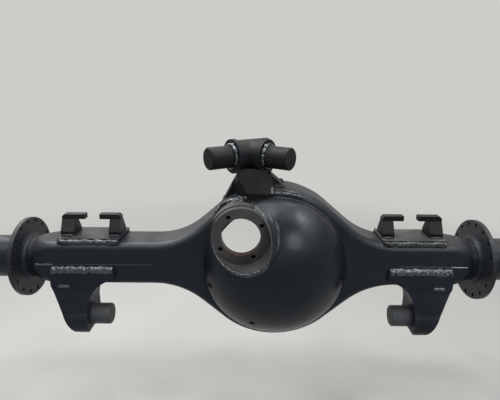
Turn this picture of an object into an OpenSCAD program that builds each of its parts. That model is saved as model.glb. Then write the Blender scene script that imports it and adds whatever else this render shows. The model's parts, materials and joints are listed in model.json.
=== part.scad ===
// Banjo drive-axle housing for a heavy tandem axle.
// X runs along the axle, Y from the domed side to the carrier side, Z is up.
// The origin lies on the wheel axis, midway between the two brake flanges.

/* [Beam and bowl] */
// Outside height and depth of the square beam
beam_size = 130; // [122:1:140]
// Outside corner radius of the beam and of the bowl's rims
beam_corner_r = 22; // [18:1:28]
// Wall of the two pressed halves
wall = 12; // [9:0.5:14]
// Middle of the bowl along the axle
bowl_x = 70; // [40:1:80]
// Outside radius of the bowl
bowl_r = 233; // [228:1:245]
// Slope of the straight run between bowl and beam, in degrees
ramp_angle = 41; // [38:1:44]
// Radius of the hollow curve from the slope to the beam
fillet_r = 210; // [180:5:230]
// Distance of the domed wall's opening inside the bowl's rim
front_land = 47; // [40:1:56]
// Distance of the carrier opening inside the bowl's rim
carrier_land = 43; // [38:1:50]

/* [Ends] */
// Distance between the inboard faces of the brake flanges
flange_spacing = 1350; // [1330:5:1420]
// Diameter of the round neck and of the spindle's shoulder
neck_d = 127; // [120:1:128]
// Length of the run from square beam to round neck
neck_run = 72; // [55:1:78]
// Distance from the joint of beam and spindle to the brake flange
neck_joint = 20; // [18:1:30]
// Outside diameter of a brake flange
flange_d = 240; // [232:1:260]
// Thickness of a brake flange
flange_t = 12; // [10:0.5:18]
// Distance of a flange bolt hole from the flange's rim
flange_edge = 12.5; // [10:0.5:16]
// Bolt holes in a brake flange
flange_holes = 16; // [12:1:18]
// Diameter of these bolt holes
flange_hole_d = 13; // [11:0.5:16]

/* [Spindle] */
// Length of the shoulder outboard of the brake flange
shoulder_len = 93; // [70:1:110]
// Diameter of the seal seat
seal_d = 108; // [100:1:114]
// Length of the seal seat
seal_len = 22; // [18:1:30]
// Diameter of the inner bearing seat
inner_bearing_d = 82.5; // [80:0.5:90]
// Length of the inner bearing seat
inner_bearing_len = 46; // [40:1:55]
// Length of the taper between the bearing seats
taper_len = 57; // [45:1:70]
// Diameter of the outer bearing seat
outer_bearing_d = 69.8; // [69:0.1:74]
// Length of the outer bearing seat
outer_bearing_len = 36; // [30:1:45]
// Diameter of the end thread
thread_d = 66.6; // [64:0.1:68]
// Length of the end thread
thread_len = 34; // [28:1:45]
// Bore for the axle shaft
shaft_bore_d = 54; // [46:0.5:58]
// Length of the wide throat inside the neck
throat_len = 45; // [35:1:60]

/* [Dome and boss] */
// Distance of the dome's skirt inside the bowl's rim
dome_margin = 25; // [23:0.5:29]
// Height of the straight skirt
dome_skirt = 4; // [3:0.5:12]
// Radius of the dome's crown
crown_r = 250; // [242:1:270]
// Radius of the turn from skirt to crown
knuckle_r = 45; // [38:1:52]
// Wall of the dome
dome_wall = 9; // [7:0.5:11]
// Diameter of the level and drain holes
dome_hole_d = 20; // [14:1:24]
// Angle of the level hole from the dome's axis, in degrees
level_lean = 50; // [44:1:52]
// Direction of the level hole round the dome, in degrees
level_turn = 193; // [186:1:200]
// Angle of the drain hole from the dome's axis, in degrees
drain_lean = 39; // [34:1:46]
// Direction of the drain hole round the dome, in degrees
drain_turn = 245; // [238:1:262]
// Middle of the output boss along the axle
boss_x = -27; // [-32:1:-22]
// Height of the output boss
boss_z = 113; // [108:1:118]
// Distance of the boss face from the domed wall
boss_face = 60; // [54:1:66]
// Length of the boss bore
boss_bore_len = 24; // [18:1:28]
// Bore of the output boss
boss_bore_d = 108; // [96:1:112]
// Diameter of the recess in front of the boss face
boss_recess_d = 162; // [158:1:166]
// Wall of the tube around the recess
boss_wall = 4.5; // [3.5:0.5:8]
// Bolt circle of the boss
boss_pcd = 132; // [128:1:136]
// Bolt holes in the boss
boss_holes = 4; // [3:1:6]
// Diameter of these bolt holes
boss_hole_d = 13; // [10:0.5:14]
// Depth of these bolt holes
boss_hole_depth = 18; // [14:1:20]
// Turn of the boss's bolt pattern, in degrees
boss_turn = 31; // [0:1:45]

/* [Carrier ring] */
// Distance of the carrier ring's edge inside the bowl's rim
ring_margin = 7; // [5:0.5:11]
// Thickness of the carrier ring
ring_t = 18; // [14:1:24]
// Tapped holes in the carrier ring
ring_holes = 16; // [10:1:20]
// Diameter of these holes
ring_hole_d = 13; // [10:0.5:14]

/* [Rod tower] */
// Middle of the tower's head along the axle
head_x = -5; // [-10:1:5]
// Height of the pin axes above the wheel axis
head_z = 316; // [310:1:330]
// Distance of the crossing of the pin axes from the beam's middle
head_y = 20; // [12:1:24]
// Angle of each pin axis to the beam, in degrees
pin_angle = 33; // [30:1:36]
// Diameter of all four rod pins
pin_d = 63.5; // [58:0.5:66]
// Diameter of the spigot that seats a pin in its barrel
spigot_d = 58; // [52:0.5:60]
// Length of tower pin that stands free
tower_pin_len = 75; // [68:1:90]
// Length of a tower pin inside its barrel
tower_pin_seat = 36; // [28:1:38]
// Diameter of the head's barrels
barrel_d = 90; // [84:1:94]
// Diameter of the collar at each barrel's mouth
collar_d = 98; // [96:1:108]
// Thickness of a collar
collar_t = 12; // [9:1:16]
// Distance of each collar face from the crossing of the axes
collar_reach = 62; // [60:1:70]
// Run of the through barrel behind the crossing
barrel_tail = 60; // [52:1:70]
// Middle of the column along the axle
column_x = 8; // [4:1:12]
// Half width of the column below the head
column_half = 48; // [42:1:52]
// Half depth of the column
column_depth = 30; // [26:1:36]
// Height at which the column's flanks start to spread
column_z = 266; // [260:1:272]
// Spread of the column's left flank down to the bowl
left_flank = 54; // [46:1:60]
// Spread of the column's right flank down to the bowl
right_flank = 40; // [32:1:46]
// Middle of the front rib along the axle
rib_x = 26; // [20:1:30]
// Half width of the front rib
rib_half = 28; // [22:1:32]
// Reach of the front rib over the domed wall
rib_lip = 9; // [6:0.5:12]
// Depth of the front rib under the head
rib_top = 44; // [38:1:50]

/* [Spring saddles] */
// Middle of a saddle's slot from the middle of the axle
saddle_x = 475; // [470:1:480]
// Distance of the pad's edge from the beam's side
pad_inset = 15; // [13:1:20]
// Thickness of a saddle pad
pad_t = 12; // [9:0.5:16]
// Reach of the pad beyond the hooks
pad_margin = 4; // [2:1:8]
// Clear width between the hooks
slot_w = 105; // [98:1:112]
// Clear width between the hooks' lips
slot_neck = 44; // [36:1:56]
// Height of the slot below the lips
slot_h = 47; // [42:1:56]
// Thickness of the outer hook's upright
outer_hook_t = 38; // [32:1:40]
// Thickness of the inner hook's upright
inner_hook_t = 33; // [28:1:40]
// Thickness of the lips
lip_t = 15; // [12:1:20]
// Depth of a hook at its foot
hook_foot_depth = 60; // [50:1:70]
// Depth of a hook at its lip
hook_lip_depth = 22; // [18:1:34]
// Height of a hook's straight foot
hook_foot_h = 14; // [8:1:20]
// Cut at a hook's outer top corner
hook_corner = 7; // [3:1:10]

/* [Rod brackets] */
// Distance of a bracket's barrel from the middle of the axle
bracket_x = 487; // [480:1:495]
// Length of the bracket's barrel
bracket_barrel_len = 58; // [50:1:64]
// Radius of the bracket's barrel
bracket_barrel_r = 57; // [52:1:60]
// Radius of the bracket's rounded toe
toe_r = 22; // [18:1:28]
// Depth of the toe below the rod pin's middle
toe_drop = 50; // [44:1:56]
// Height of the rod pin below the wheel axis
rod_drop = 173; // [168:1:182]
// Distance of the rod pin from the beam's middle, towards the dome
rod_y = 43; // [38:1:46]
// Length of rod pin that stands free
rod_pin_len = 57; // [45:1:70]
// Length of a rod pin inside its barrel
rod_pin_seat = 44; // [32:1:48]
// Thickness of the bracket's front wall on the beam
bracket_front_t = 12; // [9:0.5:16]
// Distance of the front wall's top edge below the beam's seam
bracket_top = 15; // [15:1:20]
// Reach of the front wall inboard of the barrel
wing_in = 84; // [76:1:90]
// Reach of the front wall outboard of the barrel
wing_out = 48; // [40:1:54]
// Thickness of the bracket's web
bracket_web_t = 22; // [16:1:26]
// Height of the front wall at its inboard tip
wing_tip = 26; // [20:1:40]
// Height of the front wall at its outboard end
wing_end = 50; // [44:1:60]

/* [Welds] */
// Leg of the brake flange welds on the inboard side
flange_weld = 11; // [8:1:15]
// Leg of the brake flange welds on the outboard side
outer_flange_weld = 9; // [6:0.5:12]
// Leg of the dome and boss welds
dome_weld = 8; // [6:0.5:9]
// Leg of the saddle, bracket and tower welds
plate_weld = 10; // [7:0.5:11]
// Half width of the seam welds
seam_weld = 3; // [2:0.5:3.5]

/* [Hidden] */
$fn = 96;
eps = 0.01;
arc_steps = 16;
// How far cutting bodies run past the faces that they open
over = 1;
black = [0.10, 0.105, 0.11];
// How far one face of a blended form lies inside the curve that it runs into
hair = 0.02;
side_wall_sink = 2 * hair;
slope_sink = 0.3;
slope_overlap = 1;
// Angle by which the turned rims run on past the start of the slopes
turn_over = 0.4;
beam_half = beam_size / 2;
front_opening_r = bowl_r - front_land;
carrier_opening_r = bowl_r - carrier_land;
dome_r = bowl_r - dome_margin;
ring_r = bowl_r - ring_margin;
beam_inner_r = beam_corner_r - wall;
flange_x = flange_spacing / 2;
joint_x = flange_x - neck_joint;
neck_x = joint_x - neck_run;
neck_r = neck_d / 2;
neck_land = 8;
beam_corner_reach = (beam_half - beam_corner_r) * sqrt(2) + beam_corner_r + over;
// Legs of the rim below its crown, and where the side walls start beside them
rim_lap = 3;
plate_inset = beam_corner_r + rim_lap;
rim_leg = plate_inset + rim_lap;
fillet_dx = (bowl_r + fillet_r - (beam_half + fillet_r) * cos(ramp_angle)) / sin(ramp_angle);
fillet_z = beam_half + fillet_r;
ramp_len = fillet_dx * cos(ramp_angle) - fillet_z * sin(ramp_angle);
right_fillet_x = bowl_x + fillet_dx;
left_fillet_x = bowl_x - fillet_dx;
shoulder_x = flange_x + flange_t + shoulder_len;
seal_x = shoulder_x + seal_len;
inner_bearing_x = seal_x + inner_bearing_len;
taper_x = inner_bearing_x + taper_len;
outer_bearing_x = taper_x + outer_bearing_len;
spindle_x = outer_bearing_x + thread_len;
shaft_bore_r = shaft_bore_d / 2;
throat_r = neck_r - wall;
throat_x = joint_x + throat_len;
knuckle_x = dome_r - knuckle_r;
crown_angle = asin(knuckle_x / (crown_r - knuckle_r));
crown_y = dome_skirt - (crown_r - knuckle_r) * cos(crown_angle);
dome_top = crown_y + crown_r;
boss_back = boss_face - boss_bore_len;
boss_recess_r = boss_recess_d / 2;
boss_land = 1;
boss_relief = 3;
boss_ring_r = boss_recess_r + boss_land;
boss_tube_r = boss_recess_r + boss_wall;
boss_weld_r = boss_tube_r + 1.5 * dome_weld;
ring_pcd_r = (carrier_opening_r + ring_r) / 2;
pad_z = beam_half + pad_t;
lip_z = pad_z + slot_h;
hook_top = lip_z + lip_t;
slot_inner_x = saddle_x - slot_w / 2;
slot_outer_x = saddle_x + slot_w / 2;
neck_gap = (slot_w - slot_neck) / 2;
pad_half_depth = beam_half - pad_inset;
pad_inner_x = slot_inner_x - inner_hook_t - pad_margin;
pad_outer_x = slot_outer_x + outer_hook_t + pad_margin;
front_face = -beam_half - bracket_front_t;
bracket_end = bracket_x + bracket_barrel_len;
flange_pcd = flange_d - 2 * flange_edge;
pin_r = pin_d / 2;
spigot_r = spigot_d / 2;
pin_chamfer = 3;
barrel_r = barrel_d / 2;
column_left = column_x - column_half;
column_right = column_x + column_half;
left_foot_x = column_left - left_flank;
right_foot_x = column_right + right_flank;

// Shared placing helpers

module mirrored(side) {
    mirror([side < 0 ? 1 : 0, 0, 0]) children();
}

// Turns a flat shape to stand across X, or a revolve to have its axis along X
module along_x() {
    rotate([90, 0, 90]) children();
}

// Turns a flat shape drawn in X and Z to run along Y, starting at y
module along_y(y) {
    translate([0, y, 0]) rotate([90, 0, 0]) mirror([0, 0, 1]) children();
}

// Puts a revolve on the domed wall, its axis pointing out of the dome
module on_dome_wall(x, z) {
    translate([x, -beam_half, z]) rotate([90, 0, 0]) children();
}

module rounded_square(size, r) {
    square([size, size - 2 * r], center = true);
    square([size - 2 * r, size], center = true);
    for (sx = [-1, 1], sy = [-1, 1])
        translate([sx, sy] * (size / 2 - r)) circle(r);
}

// Pressed halves: one hollow section, run straight along the beam and the slopes and
// turned round the bowl and the hollow curves, closed by two flat side walls

module beam_section(inset = 0) {
    difference() {
        rounded_square(beam_size - 2 * inset, beam_corner_r - inset);
        rounded_square(beam_size - 2 * wall + 2 * inset, beam_inner_r + inset);
    }
}

module half_section() {
    intersection() {
        beam_section();
        translate([-beam_half, 0]) square([beam_size, beam_half]);
    }
}

// Crown of a half with short legs, its outer face at height 0
module rim_section(leg, inset = 0) {
    intersection() {
        translate([0, -beam_half]) beam_section(inset);
        translate([-beam_half, -leg]) square([beam_size, leg]);
    }
}

// Rim turned about an axis along Y, through a point given by x and z
module rim_turned(centre, start, sweep) {
    translate([centre[0], 0, centre[1]]) rotate([90, 0, 0]) rotate([0, 0, start])
        rotate_extrude(angle = sweep) children();
}

module bowl_rim() {
    translate([bowl_x, 0, 0]) {
        rim_turned([0, 0], 90 - ramp_angle - turn_over, 2 * (ramp_angle + turn_over))
            translate([bowl_r, 0]) rotate(-90) rim_section(rim_leg);
        for (side = [-1, 1]) mirrored(side) {
            rim_turned([-fillet_dx, fillet_z], 270, ramp_angle + turn_over)
                translate([fillet_r, 0]) rotate(90) rim_section(rim_leg);
            rotate([0, -ramp_angle, 0]) translate([-ramp_len - slope_overlap, 0, bowl_r])
                along_x() linear_extrude(ramp_len + 2 * slope_overlap)
                    rim_section(rim_leg - rim_lap / 2, slope_sink);
        }
    }
}

function outline_side(side, inset) = concat(
    [for (i = [0 : arc_steps]) let (t = 90 - ramp_angle * i / arc_steps)
        [bowl_x + side * (bowl_r - inset) * cos(t), (bowl_r - inset) * sin(t)]],
    [for (i = [0 : arc_steps]) let (t = 270 - ramp_angle + ramp_angle * i / arc_steps)
        [bowl_x + side * (fillet_dx + (fillet_r + inset) * cos(t)),
            fillet_z + (fillet_r + inset) * sin(t)]]);

function reversed(list) = [for (i = [len(list) - 1 : -1 : 0]) list[i]];

// Upper outline of the bowl between the ends of its hollow curves
module bowl_outline(inset) {
    polygon(concat(reversed(outline_side(-1, inset)), outline_side(1, inset),
        [[right_fillet_x, 0], [left_fillet_x, 0]]));
}

module side_wall(y, opening_r) {
    along_y(y + side_wall_sink) linear_extrude(wall - 2 * side_wall_sink) difference() {
        bowl_outline(plate_inset);
        translate([bowl_x, 0]) circle(opening_r);
    }
}

// Square end of the beam, brought down to the round neck
module neck(inset) {
    intersection() {
        translate([neck_x - eps, 0, 0]) along_x()
            linear_extrude(neck_run + eps)
                rounded_square(beam_size - 2 * inset, beam_corner_r - inset);
        along_x() rotate_extrude()
            polygon([[0, neck_x - over], [beam_corner_reach - inset, neck_x - over],
                [beam_corner_reach - inset, neck_x], [neck_r - inset, joint_x - neck_land],
                [neck_r - inset, joint_x + over], [0, joint_x + over]]);
    }
}

module half_neck() {
    intersection() {
        difference() {
            neck(0);
            neck(wall);
        }
        translate([neck_x, -beam_half, 0]) cube([neck_run, beam_size, beam_half]);
    }
}

module pressed_half() {
    translate([right_fillet_x, 0, 0]) along_x()
        linear_extrude(neck_x - right_fillet_x) half_section();
    translate([-neck_x, 0, 0]) along_x()
        linear_extrude(neck_x + left_fillet_x) half_section();
    bowl_rim();
    side_wall(-beam_half, front_opening_r);
    side_wall(beam_half - wall, carrier_opening_r);
    for (side = [-1, 1]) mirrored(side) half_neck();
}

module upper_half() {
    color(black) pressed_half();
}

// The lower half is the same pressing, turned over
module lower_half() {
    color(black) mirror([0, 0, 1]) pressed_half();
}

// Flat beads over the joint of the two halves, on the four sides of the beam
module seam_welds() {
    bead_r = 2 * seam_weld;
    bead_y = sqrt(bead_r * bead_r - seam_weld * seam_weld);
    color(black) for (side = [-1, 1], span = [[right_fillet_x, neck_x], [-neck_x, left_fillet_x]])
        translate([span[0], 0, 0]) along_x() linear_extrude(span[1] - span[0])
            scale([side, 1]) intersection() {
                translate([beam_half - bead_y, 0]) circle(bead_r);
                translate([beam_half, -bead_r]) square([bead_r, 2 * bead_r]);
            }
}

// Dome: straight skirt, turned-in knuckle and round crown

module dome_profile(inset) {
    square([dome_r - inset, dome_skirt]);
    translate([0, dome_skirt]) {
        intersection() {
            translate([knuckle_x, 0]) circle(knuckle_r - inset);
            square(dome_r + knuckle_r);
        }
        intersection() {
            translate([0, crown_y - dome_skirt]) circle(crown_r - inset - hair);
            polygon([[0, 0], [knuckle_x, 0], [knuckle_x + crown_r * tan(crown_angle), crown_r],
                [0, crown_r]]);
        }
    }
}

module dome_solid(inset) {
    on_dome_wall(bowl_x, 0) rotate_extrude() dome_profile(inset);
}

module dome_hole(lean, turn) {
    on_dome_wall(bowl_x, 0) translate([0, 0, crown_y]) rotate([0, lean, turn])
        translate([0, 0, crown_r - 4 * dome_wall])
            cylinder(d = dome_hole_d, h = 8 * dome_wall);
}

module dome_cover() {
    color(black) difference() {
        dome_solid(0);
        dome_solid(dome_wall);
        on_dome_wall(boss_x, boss_z) cylinder(r = boss_tube_r, h = dome_top);
        dome_hole(level_lean, level_turn);
        dome_hole(drain_lean, drain_turn);
    }
}

module dome_weld_ring() {
    bead = min(dome_weld, bowl_r - beam_corner_r - dome_r + over);
    color(black) difference() {
        on_dome_wall(bowl_x, 0) rotate_extrude()
            polygon([[dome_r, 0], [dome_r + bead, 0], [dome_r, dome_skirt]]);
        on_dome_wall(boss_x, boss_z) translate([0, 0, -over])
            cylinder(r = boss_weld_r, h = dome_top);
    }
}

// Output boss: a bored ring sunk in the dome, a tube up to the dome's surface, and a foot
// on the domed wall where the ring reaches past the skirt

module output_boss() {
    color(black) difference() {
        union() {
            on_dome_wall(boss_x, boss_z) translate([0, 0, boss_back])
                cylinder(r = boss_ring_r, h = boss_bore_len);
            intersection() {
                on_dome_wall(boss_x, boss_z) translate([0, 0, boss_back])
                    cylinder(r = boss_tube_r, h = dome_top - boss_back);
                dome_solid(0);
            }
            difference() {
                on_dome_wall(boss_x, boss_z) cylinder(r = boss_tube_r, h = boss_back + over);
                on_dome_wall(bowl_x, 0) translate([0, 0, -over])
                    cylinder(r = dome_r - dome_wall, h = dome_top);
                on_dome_wall(boss_x, boss_z) translate([0, 0, -over])
                    cylinder(r = boss_bore_d / 2 + boss_relief, h = boss_back + over);
            }
        }
        on_dome_wall(boss_x, boss_z) translate([0, 0, boss_face])
            cylinder(r = boss_recess_r, h = dome_top);
        on_dome_wall(boss_x, boss_z) cylinder(d = boss_bore_d, h = dome_top);
        for (i = [0 : boss_holes - 1])
            on_dome_wall(boss_x, boss_z) rotate([0, 0, boss_turn + i * 360 / boss_holes])
                translate([boss_pcd / 2, 0, boss_face - boss_hole_depth])
                    cylinder(d = boss_hole_d, h = dome_top);
    }
}

// Broad bead between the tube's rim and the dome
module boss_weld() {
    bead_h = dome_weld / 2;
    bead_r = boss_ring_r + over;
    color(black) intersection() {
        difference() {
            dome_solid(-bead_h);
            dome_solid(0);
        }
        on_dome_wall(boss_x, boss_z) rotate_extrude()
            polygon([[boss_tube_r, over], [boss_weld_r, over], [boss_weld_r, dome_top + dome_weld],
                [bead_r, dome_top + dome_weld], [bead_r, boss_face + bead_h], [boss_tube_r, boss_face]]);
    }
}

// Flat ring that the carrier bolts to
module carrier_ring() {
    color(black) translate([bowl_x, beam_half, 0]) rotate([-90, 0, 0]) difference() {
        cylinder(r = ring_r, h = ring_t);
        translate([0, 0, -over]) cylinder(r = carrier_opening_r, h = ring_t + 2 * over);
        for (i = [0 : ring_holes - 1]) rotate([0, 0, (i + 0.5) * 360 / ring_holes])
            translate([ring_pcd_r, 0, -over]) cylinder(d = ring_hole_d, h = ring_t + 2 * over);
    }
}

// Spindles and brake flanges

module spindle(side) {
    key_w = 9;
    key_depth = 4;
    chamfer = 2;
    relief = 1.5;
    relief_x = outer_bearing_x + 2 * relief;
    color(black) mirrored(side) difference() {
        along_x() rotate_extrude() polygon([
            [throat_r, joint_x], [neck_r, joint_x], [neck_r, shoulder_x - chamfer],
            [neck_r - chamfer, shoulder_x], [seal_d / 2, shoulder_x], [seal_d / 2, seal_x - chamfer],
            [seal_d / 2 - chamfer, seal_x], [inner_bearing_d / 2, seal_x],
            [inner_bearing_d / 2, inner_bearing_x], [outer_bearing_d / 2 + chamfer, taper_x - chamfer],
            [outer_bearing_d / 2, taper_x], [outer_bearing_d / 2, outer_bearing_x - chamfer],
            [thread_d / 2 - relief, outer_bearing_x], [thread_d / 2 - relief, relief_x],
            [thread_d / 2, relief_x], [thread_d / 2, spindle_x - chamfer],
            [thread_d / 2 - chamfer, spindle_x], [shaft_bore_r, spindle_x],
            [shaft_bore_r, throat_x]]);
        translate([relief_x, -key_w / 2, thread_d / 2 - key_depth])
            cube([thread_len, key_w, key_depth + over]);
    }
}

module brake_flange(side) {
    color(black) mirrored(side) translate([flange_x, 0, 0]) along_x() difference() {
        cylinder(d = flange_d, h = flange_t);
        translate([0, 0, -over]) cylinder(r = neck_r, h = flange_t + 2 * over);
        for (i = [0 : flange_holes - 1]) rotate([0, 0, i * 360 / flange_holes])
            translate([flange_pcd / 2, 0, -over]) cylinder(d = flange_hole_d, h = flange_t + 2 * over);
    }
}

// Fillets on both faces of a brake flange
module flange_welds(side) {
    outer_leg = outer_flange_weld;
    color(black) mirrored(side) along_x() {
        rotate_extrude() polygon([[neck_r, flange_x - flange_weld], [neck_r + flange_weld, flange_x],
            [neck_r, flange_x]]);
        rotate_extrude() polygon([[neck_r, flange_x + flange_t],
            [neck_r + outer_leg, flange_x + flange_t], [neck_r, flange_x + flange_t + outer_leg]]);
    }
}

// Rod tower: saddle foot on the bowl, flared column and two crossing barrels with collars

module at_head(side) {
    translate([head_x, head_y, head_z]) mirrored(side) rotate([0, 0, -pin_angle]) children();
}

function bowl_height(x) = sqrt(bowl_r * bowl_r - (x - bowl_x) * (x - bowl_x));

// Outer form of the bowl with its rounded rims, and of the slopes beside it
module bowl_envelope() {
    translate([bowl_x, 0, 0]) {
        rotate([90, 0, 0]) rotate_extrude() {
            translate([0, -beam_half]) square([bowl_r - beam_corner_r, beam_size]);
            translate([0, beam_corner_r - beam_half])
                square([bowl_r, beam_size - 2 * beam_corner_r]);
            for (side = [-1, 1])
                translate([bowl_r - beam_corner_r, side * (beam_half - beam_corner_r)])
                    circle(beam_corner_r);
        }
        rotate([0, -ramp_angle, 0]) translate([-ramp_len, -beam_half, bowl_r - slope_sink - wall])
            cube([ramp_len, beam_size, wall]);
    }
}

// Front view of the rib, as wide as the column under the head and narrower at the dome
module rib_front_profile() {
    polygon([[column_left, head_z], [column_left, column_z], [rib_x - rib_half, dome_r],
        [rib_x + rib_half, dome_r], [column_right, column_z], [column_right, head_z]]);
}

module tower_column() {
    along_y(-column_depth) linear_extrude(2 * column_depth)
        polygon([[column_left, head_z], [column_left, column_z],
            [left_foot_x, bowl_height(left_foot_x)], [bowl_x, bowl_height(left_foot_x)],
            [right_foot_x, bowl_height(left_foot_x)], [right_foot_x, bowl_height(right_foot_x)],
            [column_right, column_z], [column_right, head_z]]);
    intersection() {
        translate([column_left, 0, 0]) along_x() linear_extrude(2 * column_half)
            polygon([[0, head_z], [-rib_top, head_z], [-rib_top, head_z - pin_r],
                [-beam_half - rib_lip, bowl_r - beam_corner_r / 2],
                [-beam_half - rib_lip, dome_r], [0, dome_r]]);
        along_y(-beam_size) linear_extrude(beam_size) rib_front_profile();
    }
}

module rod_tower() {
    color(black) difference() {
        union() {
            difference() {
                tower_column();
                bowl_envelope();
                on_dome_wall(bowl_x, 0) cylinder(r = dome_r + dome_weld + over, h = rib_lip + over);
                translate([head_x - 2 * collar_d, head_y - 2 * collar_d, head_z - pin_r])
                    cube([4 * collar_d, 4 * collar_d, head_z]);
            }
            at_head(-1) translate([-barrel_tail, 0, 0]) along_x()
                cylinder(r = barrel_r, h = barrel_tail + collar_reach);
            at_head(1) along_x() cylinder(r = barrel_r, h = collar_reach);
            for (side = [-1, 1]) at_head(side) translate([collar_reach - collar_t, 0, 0])
                along_x() cylinder(d = collar_d, h = collar_t);
        }
        for (side = [-1, 1]) at_head(side) {
            translate([collar_reach - tower_pin_seat, 0, 0])
                along_x() cylinder(r = spigot_r, h = tower_pin_seat + over);
            translate([collar_reach, 0, 0]) along_x() cylinder(d = collar_d + over, h = barrel_tail);
        }
    }
}

// Round pin with a spigot in its seat and a chamfered free end
module rod_pin(seat, free) {
    along_x() rotate_extrude() polygon([[0, -seat], [spigot_r, -seat], [spigot_r, 0], [pin_r, 0],
        [pin_r, free - pin_chamfer], [pin_r - pin_chamfer, free], [0, free]]);
}

module tower_pin(side) {
    color(black) at_head(side) translate([collar_reach, 0, 0]) rod_pin(tower_pin_seat, tower_pin_len);
}

// Beads along the column's foot, the front one parted by the rib
module tower_welds() {
    left_end = 90 + ramp_angle;
    right_end = acos((right_foot_x - bowl_x) / bowl_r);
    color(black) difference() {
        for (side = [-1, 1]) rim_turned([bowl_x, 0], right_end, left_end - right_end)
            polygon([[bowl_r, side * column_depth], [bowl_r + plate_weld, side * column_depth],
                [bowl_r, side * (column_depth + plate_weld)]]);
        along_y(-beam_size) linear_extrude(beam_size) rib_front_profile();
    }
}

// Spring saddles: a pad on the beam and two hooks with lips over a slot

module saddle_pad(side) {
    color(black) difference() {
        mirrored(side) translate([pad_inner_x, -pad_half_depth, beam_half])
            cube([pad_outer_x - pad_inner_x, 2 * pad_half_depth, pad_t]);
        along_y(-beam_half) linear_extrude(beam_size) bowl_outline(0);
    }
}

// Hook profile seen along Y, its upright facing the slot at x and its lip reaching over the slot
module hook(side, x, lip_dir, upright) {
    color(black) mirrored(side) intersection() {
        along_y(-hook_foot_depth) linear_extrude(2 * hook_foot_depth)
            polygon([[x, pad_z], [x, lip_z], [x + lip_dir * neck_gap, lip_z],
                [x + lip_dir * neck_gap, hook_top], [x - lip_dir * (upright - hook_corner), hook_top],
                [x - lip_dir * upright, hook_top - hook_corner], [x - lip_dir * upright, pad_z]]);
        translate([x - slot_w, 0, 0]) along_x() linear_extrude(2 * slot_w)
            polygon([[-hook_foot_depth / 2, pad_z], [hook_foot_depth / 2, pad_z],
                [hook_foot_depth / 2, pad_z + hook_foot_h], [hook_lip_depth / 2, lip_z],
                [hook_lip_depth / 2, hook_top], [-hook_lip_depth / 2, hook_top],
                [-hook_lip_depth / 2, lip_z], [-hook_foot_depth / 2, pad_z + hook_foot_h]]);
    }
}

module outer_hook(side) {
    hook(side, slot_outer_x, -1, outer_hook_t);
}

module inner_hook(side) {
    hook(side, slot_inner_x, 1, inner_hook_t);
}

// Beads along the front and back edges of a pad, on the beam's straight run
module saddle_welds(side) {
    pad_reveal = 2;
    start_x = max(pad_inner_x, side < 0 ? -left_fillet_x : right_fillet_x);
    color(black) for (edge = [-1, 1]) mirrored(side) translate([start_x, 0, 0]) along_x()
        linear_extrude(pad_outer_x - start_x) scale([edge, 1]) difference() {
            polygon([[pad_half_depth, pad_z - pad_reveal],
                [pad_half_depth + plate_weld, beam_half - plate_weld],
                [pad_half_depth, beam_half - plate_weld]]);
            rounded_square(beam_size, beam_corner_r);
        }
}

// Rod brackets: a cast front wall on the beam, narrowing to a barrel with one pin

module bracket_side_profile() {
    difference() {
        union() {
            polygon([[front_face, -bracket_top], [front_face, -beam_half - bracket_top],
                [-rod_y - bracket_barrel_r, -rod_drop], [bracket_barrel_r - rod_y, -rod_drop],
                [bracket_barrel_r - rod_y, -bracket_top]]);
            translate([-rod_y, -rod_drop]) circle(bracket_barrel_r);
        }
        rounded_square(beam_size, beam_corner_r);
    }
}

module bracket_front_profile() {
    toe_z = toe_r - rod_drop - toe_drop;
    toe_x = bracket_x + toe_r;
    foot_z = toe_z - toe_r - over;
    root_z = pin_r - rod_drop;
    tip_x = bracket_x - wing_in;
    hollow_r = -bracket_top - wing_tip - root_z;
    inboard_cut = max(over / 2, wing_in - hollow_r + over);
    difference() {
        polygon([[tip_x, -bracket_top], [bracket_end + wing_out, -bracket_top],
            [bracket_end + wing_out, -bracket_top - wing_end],
            [toe_x + toe_r - over, foot_z], [bracket_x, foot_z], [bracket_x, root_z], [tip_x, root_z]]);
        translate([bracket_x - hollow_r, root_z]) circle(hollow_r);
        translate([tip_x - over, root_z - over])
            square([inboard_cut, hollow_r + over]);
        difference() {
            translate([bracket_x - over, foot_z - over])
                square([2 * toe_r + over, toe_r + 2 * over]);
            translate([toe_x - over, toe_z]) circle(toe_r);
        }
    }
}

module at_rod_pin() {
    translate([bracket_x, -rod_y, -rod_drop]) children();
}

module rod_bracket(side) {
    near = bracket_x - wing_in - over;
    far = bracket_end + wing_out + over;
    web_x = bracket_x + bracket_web_t;
    color(black) mirrored(side) difference() {
        intersection() {
            translate([near, 0, 0]) along_x() linear_extrude(far - near) bracket_side_profile();
            along_y(-2 * beam_size) linear_extrude(4 * beam_size) bracket_front_profile();
        }
        difference() {
            translate([web_x, -beam_half, -rod_drop - bracket_barrel_r])
                cube([far - web_x, beam_size, rod_drop + bracket_barrel_r - beam_half + beam_corner_r]);
            at_rod_pin() along_x() cylinder(r = bracket_barrel_r, h = bracket_barrel_len + over);
        }
        at_rod_pin() translate([-over, 0, 0]) along_x() cylinder(r = spigot_r, h = rod_pin_seat + over);
    }
}

module lower_rod_pin(side) {
    color(black) mirrored(side) at_rod_pin() mirror([1, 0, 0]) rod_pin(rod_pin_seat, rod_pin_len);
}

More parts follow.
